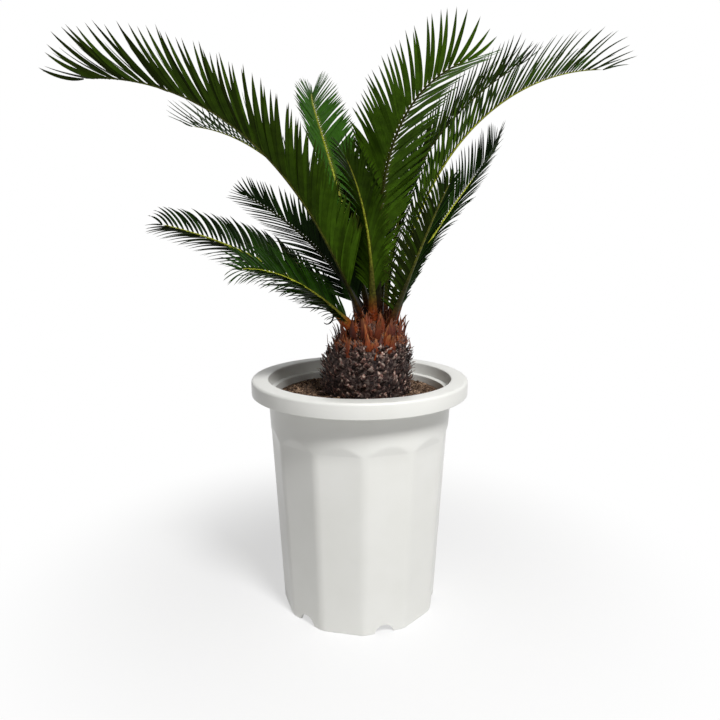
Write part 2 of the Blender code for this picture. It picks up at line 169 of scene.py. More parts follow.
# It stands beside the pot's axis, and leans over to its crown between two heights
TRUNK_OFFSET = 0.008
CROWN_OFFSET = 0.016
LEAN_START = 0.285
LEAN_END = 0.335
WOOL_BOTTOM = 0.300
WOOL_TOP = 0.318
CORE_RINGS = 40
CORE_COLUMNS = 64
CORE_INSET = 0.0022
CORE_LUMPS = (1.0 / 220.0, 0.0012)
# Parts of the way down the outline: between them stand the leaf bases, the wool and the scale
# leaves with their dry ribbons, and the broad scale leaves stand at one of them
LEAF_BASE_RUN = (0.44, 0.95)
WOOL_RUN = (0.02, 0.48)
SCALE_LEAF_RUN = (0.18, 0.56)
RIBBON_RUN = (0.36, 0.56)
BROAD_LEAF_PLACE = 0.39
# How far out of the outline things start; a flake's start and width are anywhere in a range
LEAF_BASE_ROOT = -0.0030
CROWN_ROOT = -0.0015
FLAKE_ROOTS = (-0.0010, 0.0025)
FLAKE_WIDTHS = (0.0020, 0.0046)
FLAKE_THICKNESS = 0.0005
# Parts of a leaf base's length at which its section changes
LEAF_BASE_STATIONS = (0.0, 0.3, 0.6, 0.88, 1.0)

# Fronds, much as in the solids: the seat on the crown, the way that the midrib goes, the turn about
# it at the foot and what its tip adds, how far the two rows of leaflets stand up at the foot and
# what the tip adds, and the longest leaflet and its share at the tip
Frond = namedtuple(
    "Frond",
    "name seat heading rise dip bend length sway roll twist valley close leaflet last habit",
)
# How a frond's leaflets grow. In degrees: swing, tip_swing, away from the midrib at its foot and
# its tip; skew, how much wider the right row swings than the left; curl, how far a leaflet turns
# outwards along its length; droop, how far it bends down; turn, left_turn, how far the blades of
# the right and the left row turn about their own length. age, tip_age: 0 for fresh, bright
# leaflets and 1 for old, dark ones, at the foot and the tip; besides how old a frond is, they paint
# shade on fronds that lie in shadow and painted light on leaflets that glow with light shining
# through them. rib: how dark the midrib is painted, 0 for a bright midrib and 1 for a dark one;
# partly its own colour, partly painted shade on midribs that lie in shadow.
# width, spacing: of the leaflets, in millimetres. packing: above 1, they stand closer near the
# foot than near the tip. foot: the share of its full size that the first leaflet has. closing:
# the share of its swing that the last leaflet keeps. tip_stand: degrees by which the rows stand
# up more at the tip. start: the share of the midrib where the leaflets begin. withered: how many
# dead leaflets hang hooked under its foot.
Habit = namedtuple(
    "Habit",
    "swing tip_swing skew curl droop turn left_turn age tip_age rib width spacing packing foot "
    "closing tip_stand start withered",
    defaults=(40, 35, 0, 10, 0, 0, 0, 0.8, 0.8, 0.4, 3.6, 4.4, 1.3, 0.2, 0.6, 0, 0.11, 0),
)
FRONDS = (
    Frond("frond_left_long", (215, 0.0155), 195, 67, -9, 1.9, 0.395, 6, 4, 0, 50, 4, 0.091, 0.70,
          Habit(swing=36, tip_swing=38, curl=14, droop=-8, turn=60, age=0.5, tip_age=1.0,
                rib=0.85, width=5.6, spacing=4.0, packing=1.8, foot=0.8)),
    Frond("frond_left_back", (150, 0.020), 150, 79, 8, 1.0, 0.360, 0, 0, 0, 40, 0, 0.062, 1.0,
          Habit(tip_swing=38, age=0.7, width=2.6, spacing=4.7, packing=1.6)),
    Frond("frond_left_upper", (170, 0.0095), 165, 65, 27, 0.8, 0.203, 0, -65, 0, 20, 0, 0.056, 0.6,
          Habit(swing=46, tip_swing=26, skew=4, left_turn=35, age=1.0, tip_age=1.0, rib=1.0,
                width=4.4, spacing=3.8, foot=1.0, closing=0.3)),
    Frond("frond_left_low", (188, 0.026), 172, 47, 12, 0.8, 0.252, 0, -60, 0, 15, 0, 0.058, 0.6,
          Habit(tip_swing=32, curl=-20, droop=20, left_turn=80, age=0.9, tip_age=1.0, rib=0.1,
                width=4.8, spacing=5.0, foot=0.7)),
    Frond("frond_left_front", (222, 0.027), 215, 42, 0, 2.0, 0.158, 0, -55, 0, -8, 0, 0.054, 0.7,
          Habit(swing=48, tip_swing=36, skew=14, curl=14, droop=18, left_turn=80, age=1.0,
                tip_age=0.6, rib=0.0, width=6.0, spacing=4.6, packing=1.1, foot=0.6,
                withered=1)),
    Frond("frond_back", (105, 0.0125), 135, 70, 3, 2.3, 0.395, -50, 0, 0, 15, 0, 0.072, 0.52,
          Habit(swing=31, tip_swing=36, skew=20, curl=8, age=0.1, tip_age=0.1, rib=0.3,
                width=4.8, spacing=3.2, packing=1.6, closing=1.0, tip_stand=60)),
    Frond("frond_back_right", (60, 0.022), 62, 76, 20, 1.5, 0.295, 0, 0, 0, 40, 0, 0.055, 0.5,
          Habit(tip_swing=30, width=3.0)),
    Frond("frond_back_low", (100, 0.024), 100, 50, 5, 1.3, 0.245, 0, 0, 0, 30, 0, 0.060, 0.4,
          Habit(swing=48, droop=20)),
    Frond("frond_centre", (265, 0.0125), 260, 86, 55, 1.0, 0.182, -34, -16, 0, 12, 0, 0.058, 0.8,
          Habit(swing=42, tip_swing=42, skew=24, curl=16, droop=20, age=0.5, tip_age=0.65,
                rib=0.0, width=5.0, spacing=3.1, foot=0.5, start=0.17)),
    # Its tip keeps fresh colours: painted light, for the glow of light shining through those
    # leaflets
    Frond("frond_front_tall", (335, 0.005), 270, 86, 8, 1.7, 0.315, 50, 10, -42, 15, 31, 0.078, 0.69,
          Habit(swing=41, tip_swing=57, skew=-22, curl=18, droop=-4, age=0.65, tip_age=0.0,
                # Its dark midrib is painted shade, for the shadowed side of its groove
                rib=0.9, width=5.6, spacing=4.3, packing=1.5, closing=0.4)),
    Frond("frond_right_tall", (50, 0.0115), 15, 86, 23, 1.5, 0.320, -50, 10, -10, 35, 5, 0.072, 0.7,
          Habit(swing=38, curl=12, age=0.6, tip_age=0.9, rib=0.9, width=3.2, spacing=5.0,
                foot=0.1)),
    Frond("frond_right_long", (350, 0.017), 18, 77, -2, 1.8, 0.395, -23, -10, 6, 42, 0, 0.070, 0.85,
          Habit(swing=38, tip_swing=44, curl=6, droop=10, age=0.6, rib=0.2, width=3.2,
                spacing=5.4, foot=0.1)),
    Frond("frond_right_short", (22, 0.024), 13, 75, 32, 0.8, 0.272, 48, 45, -50, 30, 50, 0.060, 0.75,
          Habit(swing=38, curl=14, droop=14, tip_age=1.0, rib=0.0, width=3.2, spacing=3.6,
                foot=0.1)),
    Frond("frond_right_front", (318, 0.024), 308, 61, 47, 2.8, 0.180, -12, 0, 0, 25, 0, 0.049, 0.55,
          Habit(swing=60, tip_swing=30, curl=14, droop=10, left_turn=66, age=0.9, tip_age=0.9,
                rib=0.7, width=4.6, spacing=4.6, packing=1.2, foot=0.5)),
)
# A stalk narrows over the first part of its frond, and the midrib from there to the tip
STALK_RADIUS = 0.0044
STALK_SHARE = 0.16
RACHIS_RADIUS = 0.0022
RACHIS_TIP_RADIUS = 0.0007
# Steps that bring the start of a stalk onto the crown, and sections along a stalk
SEAT_STEPS = 5
STALK_STATIONS = 48
# A stalk's foot is broad and flat where it clasps the crown
STALK_FOOT_WIDTH = 0.0130
STALK_FOOT_REACH = 0.100
# The last leaflets, from the taper on, are shorter and turned in. The rows end at a
# share of the midrib, and one more pair stands at its tip.
TAPER_START = 0.90
LAST_LEAFLET = 0.985
# How far single leaflets stray from their frond's habit, in degrees, and in age
SWING_STRAY = 1.6
STAND_STRAY = 2.0
CURL_STRAY = 3.0
DROOP_STRAY = 4.0
TURN_STRAY = 7.0
AGE_STRAY = 0.12
# Dead leaflets have the brown of this part of the stalk's foot. The first hangs from a share of
# the midrib, and each further one hangs lower.
WITHERED_BROWN = 0.3
WITHERED_START = 0.25
WITHERED_STEP = 0.02
WITHERED_LENGTH = 0.026
WITHERED_WIDTH = 0.0027

# Scale leaves: places round the crown, each with one broad leaf, small ones and a dry ribbon
SCALE_LEAF_COUNT = 16
SCALE_LEAF_TURN = 7.5
SCALE_LEAF_RISE = 62
SCALE_LEAF_SPREAD = 11.0
BROAD_LEAF_SIZE = 1.2
RIBBON_WIDTH = 0.35
# Wool on the feet of the stalks: one strand in so many, and how far up it goes
STALK_WOOL_SHARE = 40
STALK_WOOL_REACH = 0.010

# Sections of blades, as shares of half their width and half their depth
LEAFLET_PROFILE = ((-1.0, -0.9), (-0.62, 0.5), (0.0, 0.1), (0.62, 0.5), (1.0, -0.9), (0.0, -0.7))
LEAF_BASE_PROFILE = (
    (-1.0, 0.0), (-0.55, 0.75), (0.0, 1.0), (0.55, 0.75), (1.0, 0.0), (0.0, -0.6),
)
SCALE_LEAF_PROFILE = (
    (-1.0, -0.5), (-0.5, 0.6), (0.0, 0.9), (0.5, 0.6), (1.0, -0.5), (0.0, -0.2),
)
WOOL_PROFILE = ((-1.0, -0.6), (0.0, 1.0), (1.0, -0.6))
STALK_PROFILE = tuple(
    (math.cos(math.radians(a)), math.sin(math.radians(a)) * (0.75 if a < 180 else 1.0))
    for a in range(180, -180, -45)
)
UPPER, UNDER, STALK = 0, 1, 2
LEAFLET_SLOTS = (UPPER, UPPER, UPPER, UPPER, UNDER, UNDER)

# Stage: the floor, the distances between which it fades to white, and the share of plain white
# that the camera sees mixed into the lit floor, even near the pot
FLOOR_RADIUS = 3.0
FLOOR_COLUMNS = 96
FLOOR_FADE = (0.12, 0.5)
FLOOR_GLOW = 0.6
CAMERA_SENSOR = 36.0
CAMERA_SIDE = 0.0005
LAMP_AIM = Vector((0.0, 0.0, 0.3))
KEY_PLACE = Vector((0.5, -1.0, 1.5))
KEY_SIZE = 0.45
FILL_PLACE = Vector((-0.4, -1.6, 0.9))
FILL_SIZE = 1.2

# What every colour setting takes besides its name and its default
COLOUR = {"subtype": "COLOR", "size": 4, "min": 0.0, "max": 1.0}


# ---- sums


def smooth(value, start, end):
    """0 before start, 1 after end and an S-shaped rise between them."""
    t = min(max((value - start) / (end - start), 0.0), 1.0)
    return t * t * (3.0 - 2.0 * t)


def mix(a, b, share):
    return a + (b - a) * share


def polar(radius, degrees, height=0.0):
    angle = math.radians(degrees)
    return Vector((radius * math.cos(angle), radius * math.sin(angle), height))


def lumps(place, distance, height):
    """How far a lumpy surface stands out at a place, from the distance between its lumps."""
    return noise.noise(place / distance) * height


def slope_vector(heading, rise):
    """The unit vector at a heading and a rise above the level, both in degrees."""
    return polar(math.cos(math.radians(rise)), heading, math.sin(math.radians(rise)))


def hex_colour(code):
    """An sRGB hex colour such as #2A4A05 as linear red, green, blue and alpha."""
    channels = [int(code[i : i + 2], 16) / 255.0 for i in (1, 3, 5)]
    linear = [c / 12.92 if c <= 0.04045 else ((c + 0.055) / 1.055) ** 2.4 for c in channels]
    return (*linear, 1.0)


# ---- meshes


class Shape:
    """Points, faces and painted values of a piece while it is being built."""

    def __init__(self):
        self.points = []
        self.faces = []
        self.slots = []
        self.along = []
        self.tone = []

    def point(self, place, along=0.0, tone=0.5):
        self.points.append(place)
        self.along.append(along)
        self.tone.append(tone)
        return len(self.points) - 1

    def ring(self, places, along=0.0, tone=0.5):
        return [self.point(place, along, tone) for place in places]

    def face(self, corners, slot=0):
        self.faces.append(corners)
        self.slots.append(slot)

    def bridge(self, low, high, slots=(0,)):
        """Faces between two rings of one count; the slots repeat round the ring."""
        count = len(low)
        for i in range(count):
            j = (i + 1) % count
            self.face((low[i], low[j], high[j], high[i]), slots[i % len(slots)])

    def loft(self, rings):
        """A closed form through rings, which run anticlockwise as seen from the last one."""
        for low, high in zip(rings, rings[1:]):
            self.bridge(low, high)
        self.face(tuple(reversed(rings[0])))
        self.face(tuple(rings[-1]))

    def blade(self, places, normals, widths, depths, profile, slots=(0,), alongs=None, tone=0.5):
        """A closed form with the profile's section along places, coming to a point."""
        last = len(places) - 1
        alongs = alongs or [i / last for i in range(last + 1)]
        rings = []
        for i in range(last):
            tangent = (places[i + 1] - places[max(i - 1, 0)]).normalized()
            normal = (normals[i] - tangent * normals[i].dot(tangent)).normalized()
            across = tangent.cross(normal)
            corners = [
                places[i] + across * (x * widths[i] / 2.0) + normal * (y * depths[i] / 2.0)
                for x, y in profile
            ]
            rings.append(self.ring(corners, alongs[i], tone))
        for low, high in zip(rings, rings[1:]):
            self.bridge(low, high, slots)
        tip = self.point(places[-1], alongs[-1], tone)
        count = len(profile)
        for i in range(count):
            corners = (rings[-1][i], rings[-1][(i + 1) % count], tip)
            self.face(corners, slots[i % len(slots)])
        self.face(tuple(reversed(rings[0])), slots[-1])

    def make(self, name, materials, sharp=None):
        mesh = bpy.data.meshes.new(name)
        mesh.from_pydata(self.points, [], self.faces)
        mesh.polygons.foreach_set("material_index", self.slots)
        mesh.polygons.foreach_set("use_smooth", [True] * len(self.faces))
        for label, values in (("along", self.along), ("tone", self.tone)):
            layer = mesh.attributes.new(label, "FLOAT", "POINT")
            layer.data.foreach_set("value", values)
        for material in materials:
            mesh.materials.append(material)
        mesh.update()
        if sharp:
            mesh.set_sharp_from_angle(angle=math.radians(sharp))
        return add_object(name, mesh)


def rising_strip(root, heading, rises, leans, lengths):
    """Points along a strip and its normals, from the rise, lean and length of each step."""
    out = polar(1.0, heading)
    side = UP.cross(out)
    places = [root]
    normals = []
    for rise, lean, length in zip(rises, leans, lengths):
        angle = math.radians(rise)
        direction = (out * math.cos(angle) + UP * math.sin(angle) + side * lean).normalized()
        places.append(places[-1] + direction * length)
        normals.append(out * math.sin(angle) - UP * math.cos(angle))
    return places, normals


def add_object(name, data):
    """Put an object into the scene's own collection."""
    obj = bpy.data.objects.new(name, data)
    bpy.context.scene.collection.objects.link(obj)
    return obj


def dress(piece, slot, *nodes):
    """Hang a finished piece on the frame, in place of its solids."""
    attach(piece, "root")
    if nodes:
        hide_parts(*nodes)


# ---- materials


def add_node(tree, kind, settings=None, links=None, stops=()):
    """Add a node: set its inputs or own settings by name, link sockets in and place its stops."""
    node = tree.nodes.new(kind)
    for name, value in (settings or {}).items():
        if isinstance(name, int) or name in node.inputs:
            node.inputs[name].default_value = value
        else:
            setattr(node, name, value)
    for name, socket in (links or {}).items():
        tree.links.new(socket, node.inputs[name])
    for i, (position, colour) in enumerate(stops):
        elements = node.color_ramp.elements
        element = elements[i] if i < len(elements) else elements.new(position)
        element.position = position
        element.color = tuple(colour)
    return node


# A material being made: its shader, and the values that the points carry
Paint = namedtuple("Paint", "material tree shader along tone", defaults=(None, None))


def new_material(name, labels=("along", "tone"), **settings):
    """A material whose Principled shader's own sockets take the settings."""
    material = bpy.data.materials.new(name)
    material.use_nodes = True
    tree = material.node_tree
    shader = tree.nodes["Principled BSDF"]
    for key, value in settings.items():
        shader.inputs[key.replace("_", " ")].default_value = value
    carried = [
        add_node(tree, "ShaderNodeAttribute", {"attribute_name": label}).outputs["Fac"]
        for label in labels
    ]
    return Paint(material, tree, shader, *carried)


def grain(paint, size, detail=3.0, stretch=(1.0, 1.0, 1.0)):
    """Noise with features of about that size in metres, drawn out by stretch."""
    place = add_node(paint.tree, "ShaderNodeTexCoord")
    mapped = add_node(
        paint.tree,
        "ShaderNodeMapping",
        {"Scale": tuple(1.0 / s for s in stretch)},
        {"Vector": place.outputs["Object"]},
    )
    texture = add_node(
        paint.tree,
        "ShaderNodeTexNoise",
        {"Scale": 1.0 / size, "Detail": detail},
        {"Vector": mapped.outputs["Vector"]},
    )
    return texture.outputs["Fac"]


def shaded(paint, colour, source, low, dark, high, light):
    """A colour multiplied by a shade between dark and light, as the source goes low to high."""
    stops = ((low, hex_colour(dark)), (high, hex_colour(light)))
    shade = add_node(paint.tree, "ShaderNodeValToRGB", links={"Fac": source}, stops=stops)
    settings = {"data_type": "RGBA", "blend_type": "MULTIPLY", 0: 1.0}
    links = {6: colour, 7: shade.outputs["Color"]}
    return add_node(paint.tree, "ShaderNodeMix", settings, links).outputs[2]


def finished(paint, colour, height, distance, strength):
    """The material, with its colour and a relief linked to its shader."""
    settings = {"Distance": distance, "Strength": strength}
    relief = add_node(paint.tree, "ShaderNodeBump", settings, {"Height": height})
    paint.tree.links.new(colour, paint.shader.inputs["Base Color"])
    paint.tree.links.new(relief.outputs["Normal"], paint.shader.inputs["Normal"])
    return paint.material


def leaf_material(name, fresh, old, base, tip, roughness):
    """A cycad leaflet's skin: green along the blade, yellowish at its foot, dry at its point."""
    paint = new_material(name, Roughness=roughness, IOR=1.45, Specular_IOR_Level=0.05)
    # The tone mixes the fresh and the old colours; the old ones are also painted shade, darkening
    # fronds that lie in shadow
    links = {0: paint.tone}
    for socket, start, green in ((6, base, fresh), (7, old, old)):
        stops = ((0.0, start), (0.10, green), (0.88, green), (1.0, tip))
        run = add_node(paint.tree, "ShaderNodeValToRGB", links={"Fac": paint.along}, stops=stops)
        links[socket] = run.outputs["Color"]
    blend = add_node(paint.tree, "ShaderNodeMix", {"data_type": "RGBA"}, links)
    patches = grain(paint, 9 * MM)
    colour = shaded(paint, blend.outputs[2], patches, 0.3, "#C8C8C8", 0.7, "#FFFFFF")
    # Real veins are 0.3 mm apart; drawn at 0.9 mm so that they show as a faint grain
    return finished(paint, colour, grain(paint, 0.9 * MM, 2.0), 0.1 * MM, 0.25)


def stalk_material(foot, middle, colour):
    """A frond's stalk: rusty and woolly at its foot, then brown, then smooth olive green."""
    paint = new_material("frond_stalk", Roughness=0.5, IOR=1.45, Specular_IOR_Level=0.15)
    stops = ((0.08, foot), (0.30, middle), (0.55, middle), (1.0, colour))
    ramp = add_node(paint.tree, "ShaderNodeValToRGB", links={"Fac": paint.along}, stops=stops)
    colour = ramp.outputs["Color"]
    # Darker by the tone: for a frond, its rib figure, partly the midrib's own colour and partly
    # painted shade where the midrib lies in shadow; for a dead leaflet, its own dark brown
    colour = shaded(paint, colour, paint.tone, 0.0, "#FFFFFF", 1.0, "#383C28")
    colour = shaded(paint, colour, grain(paint, 2.5 * MM), 0.35, "#A8A088", 0.6, "#FFFFFF")
    return finished(paint, colour, grain(paint, 1.2 * MM, 3.0, (1, 1, 6)), 0.2 * MM, 0.4)


def leaf_base_material(dark, middle, edge):
    """Dead leaf bases: dry, cracked, purplish black, darkened towards the trunk by painted shade in
    the crevices between them.
    """
    paint = new_material("dead_leaf_bases", Roughness=0.8, IOR=1.4)
    links = {"Fac": grain(paint, 3.2 * MM)}
    stops = ((0.40, dark), (0.5, middle), (0.62, edge))
    colour = add_node(paint.tree, "ShaderNodeValToRGB", None, links, stops).outputs["Color"]
    colour = shaded(paint, colour, paint.tone, 0.0, "#50484C", 1.0, "#FFF0E8")
    # Painted shade: darker near the trunk, where the leaf bases crowd into crevices, full colour
    # towards their ends
    colour = shaded(paint, colour, paint.along, 0.0, "#606060", 0.7, "#FFFFFF")
    return finished(paint, colour, grain(paint, 1.2 * MM, 4.0), 0.8 * MM, 1.0)


def scale_leaf_material(foot, colour):
    """Papery scale leaves: rust wool at the foot, tan and dry towards the point."""
    paint = new_material("papery_scale_leaf", Roughness=0.7, IOR=1.4)
    stops = ((0.0, foot), (0.5, foot), (1.0, colour))
    ramp = add_node(paint.tree, "ShaderNodeValToRGB", links={"Fac": paint.along}, stops=stops)
    colour = ramp.outputs["Color"]
    colour = shaded(paint, colour, paint.tone, 0.0, "#785040", 1.0, "#FFF4E4")
    streaks = grain(paint, 1.2 * MM, 3.0, (1, 1, 6))
    colour = shaded(paint, colour, streaks, 0.3, "#987868", 0.6, "#FFFFFF")
    return finished(paint, colour, streaks, 0.3 * MM, 0.7)


def wool_material(deep, colour):
    """Plant wool: matt rust-brown hair with a soft bright edge."""
    paint = new_material(
        "rust_wool", Roughness=0.9, IOR=1.4, Sheen_Weight=0.25, Sheen_Roughness=0.5
    )
    stops = ((0.0, deep), (1.0, colour))
    ramp = add_node(paint.tree, "ShaderNodeValToRGB", links={"Fac": paint.tone}, stops=stops)
    paint.tree.links.new(ramp.outputs["Color"], paint.shader.inputs["Base Color"])
    return paint.material


def soil_material(name, dark, pale):
    """Potting mix: damp dark crumbs among dry pale ones."""
    paint = new_material(name, Roughness=0.95, IOR=1.35)
    stops = ((0.0, dark), (1.0, pale))
    ramp = add_node(paint.tree, "ShaderNodeValToRGB", links={"Fac": paint.tone}, stops=stops)
    crumbs = grain(paint, 1.4 * MM, 4.0)
    colour = shaded(paint, ramp.outputs["Color"], crumbs, 0.38, "#4A3C30", 0.6, "#FFFFFF")
    return finished(paint, colour, crumbs, 0.6 * MM, 0.9)


def pot_material(colour, dust, roughness):
    """Moulded polypropylene: satin off-white, faint flow marks, soil dust low on the inside."""
    paint = new_material("moulded_polypropylene", Roughness=roughness, IOR=1.49)
    stops = ((0.0, colour), (1.0, dust))
    ramp = add_node(paint.tree, "ShaderNodeValToRGB", links={"Fac": paint.tone}, stops=stops)
    flow = grain(paint, 45 * MM, 2.0)
    colour = shaded(paint, ramp.outputs["Color"], flow, 0.3, "#FBFBFA", 0.7, "#FFFFFF")
    # Marks of the mould's turning tool lie about 0.3 mm apart; drawn at 1 mm so that they show
    marks = grain(paint, 1.0 * MM, 2.0, (40, 40, 1))
    return finished(paint, colour, marks, 0.05 * MM, 0.3)


# ---- fronds


def frond_slope(frond, share):
    """The way that a frond's midrib points at a share of its length."""
    rise = frond.rise + (frond.dip - frond.rise) * share**frond.bend
    return slope_vector(frond.heading + frond.sway * share**1.5, rise)


def frond_sides(frond, share):
    """Along the midrib, to its right, and up out of its upper side."""
    along = frond_slope(frond, share)
    right = along.cross(UP).normalized()
    turn = frond.roll + frond.twist * share**2
    right = Matrix.Rotation(math.radians(turn), 3, along) @ right
    return along, right, right.cross(along)


def midrib(frond, start, steps):
    """Points along the midrib at equal shares of its length."""
    points = [start]
    for i in range(steps):
        step = frond_slope(frond, (i + 0.5) / steps)
        points.append(points[-1] + step * frond.length / steps)
    return points


def seat(crown, frond):
    """Where a frond's stalk starts, on the trunk's crown."""
    degrees, radius = frond.seat
    direction = frond_slope(frond, 0.0)
    above = POT_AXIS + Vector((CROWN_OFFSET, 0.0, 2.0 * POT_HEIGHT)) + polar(radius, degrees)
    start = crown.ray_cast(above, -UP)[0] + direction * STALK_RADIUS
    right = direction.cross(UP).normalized()
    over = right.cross(direction)
    corners = [side * STALK_RADIUS for side in (right, -right, over, -over)]
    for _ in range(SEAT_STEPS):
        start -= direction * min(crown.find_nearest(start + c)[3] for c in corners)
    return start


def leaflet_line(root, along, out, chord, swing, curl, droop, steps):
    """Points from a leaflet's root along a gentle curve, and the blade's upward normals."""
    places = [Vector()]
    normals = []
    for i in range(steps):
        bend = (i + 0.5) / steps - 0.5
        angle = math.radians(swing + curl * bend)
        direction = along * math.cos(angle) + out * math.sin(angle)
        fall = math.radians(droop * bend * 2.0)
        direction = (direction - UP * math.sin(fall)).normalized()
        places.append(places[-1] + direction * chord / steps)
        normals.append(direction.cross(along))
    return [root + place for place in places], normals


def add_leaflet(shape, frond, root, share, row, settings, rng):
    """One leaflet: row is 1 on the right of the midrib and -1 on the left."""
    along, right, over = frond_sides(frond, share)
    habit = frond.habit
    place = (share - habit.start) / (1.0 - habit.start)
    swing = mix(habit.swing, habit.tip_swing, place) + row * habit.skew / 2.0
    swing += rng.gauss(0.0, SWING_STRAY)
    swing *= mix(1.0, habit.closing, smooth(place, TAPER_START, 1.0))
    valley = frond.valley + frond.close * share**2 + habit.tip_stand * smooth(place, 0.6, 1.0)
    valley = math.radians(valley + rng.gauss(0.0, STAND_STRAY))
    out = right * row * math.cos(valley) + over * math.sin(valley)
    growth = mix(habit.foot, 1.0, smooth(place, -0.05, 0.45))
    size = frond.leaflet * growth
    size *= mix(1.0, frond.last, place**2) * mix(1.0, 0.6, smooth(place, TAPER_START, 1.02))
    size *= rng.uniform(0.93, 1.0)
    steps = settings.leaflet_steps
    curl = habit.curl + rng.gauss(0.0, CURL_STRAY)
    droop = habit.droop + rng.gauss(0.0, DROOP_STRAY)
    places, normals = leaflet_line(root, along, out, size, swing, curl, droop, steps)
    if normals[0].dot(over) < 0.0:
        normals = [-normal for normal in normals]
    turn = rng.gauss(0.0, TURN_STRAY) * row + (habit.turn if row > 0 else habit.left_turn)
    twist = Matrix.Rotation(math.radians(turn), 3, places[-1] - places[0])
    normals = [twist @ normal for normal in normals]
    width = settings.leaflet_width * habit.width * mix(0.7, 1.0, smooth(size, 0.02, 0.06))
    width *= mix(0.6, 1.0, growth) * mix(1.1, 0.8, smooth(place, 0.2, 0.8))
    shares = [i / steps for i in range(steps + 1)]
    widths = [width * (0.55 + 0.45 * smooth(t, 0.0, 0.2)) * (1.0 - t**3.5) for t in shares]
    depths = [settings.leaflet_thickness * (1.0 - 0.5 * t) for t in shares]
    age = mix(habit.age, habit.tip_age, place) + rng.gauss(0.0, AGE_STRAY)
    tone = min(max(age, 0.0), 1.0)
    shape.blade(places, normals, widths, depths, LEAFLET_PROFILE, LEAFLET_SLOTS, tone=tone)


def stalk_radius(share):
    """Half the depth of a stalk or midrib at a share of the frond's length."""
    if share < STALK_SHARE:
        flare = 1.0 - share / STALK_SHARE
        return mix(RACHIS_RADIUS, STALK_RADIUS, flare)
    return mix(RACHIS_RADIUS, RACHIS_TIP_RADIUS, (share - STALK_SHARE) / (1.0 - STALK_SHARE))


def add_stalk(shape, frond, points):
    """A frond's stalk and midrib, broad at the foot and drawn out to the tip."""
    steps = len(points) - 1
    shares = [i / steps for i in range(steps + 1)]
    normals = [frond_sides(frond, share)[2] for share in shares]
    depths = [2.0 * stalk_radius(share) for share in shares]
    fars = [share * frond.length for share in shares]
    feet = [mix(STALK_FOOT_WIDTH, 0.0, far / STALK_FOOT_REACH) for far in fars]
    widths = [max(foot, depth) for foot, depth in zip(feet, depths)]
    alongs = [min(far / STALK_FOOT_REACH, 1.0) for far in fars]
    rib = frond.habit.rib
    shape.blade(points, normals, widths, depths, STALK_PROFILE, (STALK,), alongs, rib)


def add_withered_leaflet(shape, frond, root, length, width):
    """A dead leaflet that hangs from a frond's foot and hooks up again at its end."""
    steps = 12
    rises = [mix(-95.0, 60.0, ((i + 0.5) / steps) ** 2) for i in range(steps)]
    lengths = [length / steps] * steps
    places, normals = rising_strip(root, frond.heading, rises, [0.0] * steps, lengths)
    normals = [-normal for normal in normals]
    widths = [width * (1.0 - 0.5 * i / steps) for i in range(steps + 1)]
    alongs = [WITHERED_BROWN] * (steps + 1)
    shape.blade(places, normals, widths, widths, STALK_PROFILE, (STALK,), alongs, 1.0)


def add_terminal_pair(shape, frond, tip, settings, rng):
    """The two small leaflets that end a frond, either side of its tip."""
    for row in (-1, 1):
        add_leaflet(shape, frond, tip, 1.0, row, settings, rng)


def make_frond(frond, start, settings, materials):
    """One frond: its stalk and midrib, two rows of leaflets, and its dead ones."""
    rng = random.Random(frond.name)
    shape = Shape()
    points = midrib(frond, start, STALK_STATIONS)
    add_stalk(shape, frond, points)
    spacing = settings.leaflet_spacing * frond.habit.spacing
    first = frond.habit.start
    count = round(frond.length * (1.0 - first) / spacing)
    for i in range(count):
        for row, shift in ((-1, 0.0), (1, 0.5)):
            share = mix(first, LAST_LEAFLET, ((i + shift) / count) ** frond.habit.packing)
            where = share * STALK_STATIONS
            station = int(where)
            root = points[station].lerp(points[station + 1], where - station)
            _, right, over = frond_sides(frond, share)
            root = root + (right * row * 0.7 + over * 0.3) * stalk_radius(share)
            add_leaflet(shape, frond, root, share, row, settings, rng)
    add_terminal_pair(shape, frond, points[-1], settings, rng)
    for i in range(frond.habit.withered):
        station = round((WITHERED_START - WITHERED_STEP * i) * STALK_STATIONS)
        add_withered_leaflet(shape, frond, points[station], WITHERED_LENGTH, WITHERED_WIDTH)
    piece = shape.make(frond.name + "_leaflets", materials, sharp=50)
    dress(piece, "frond", frond.name)


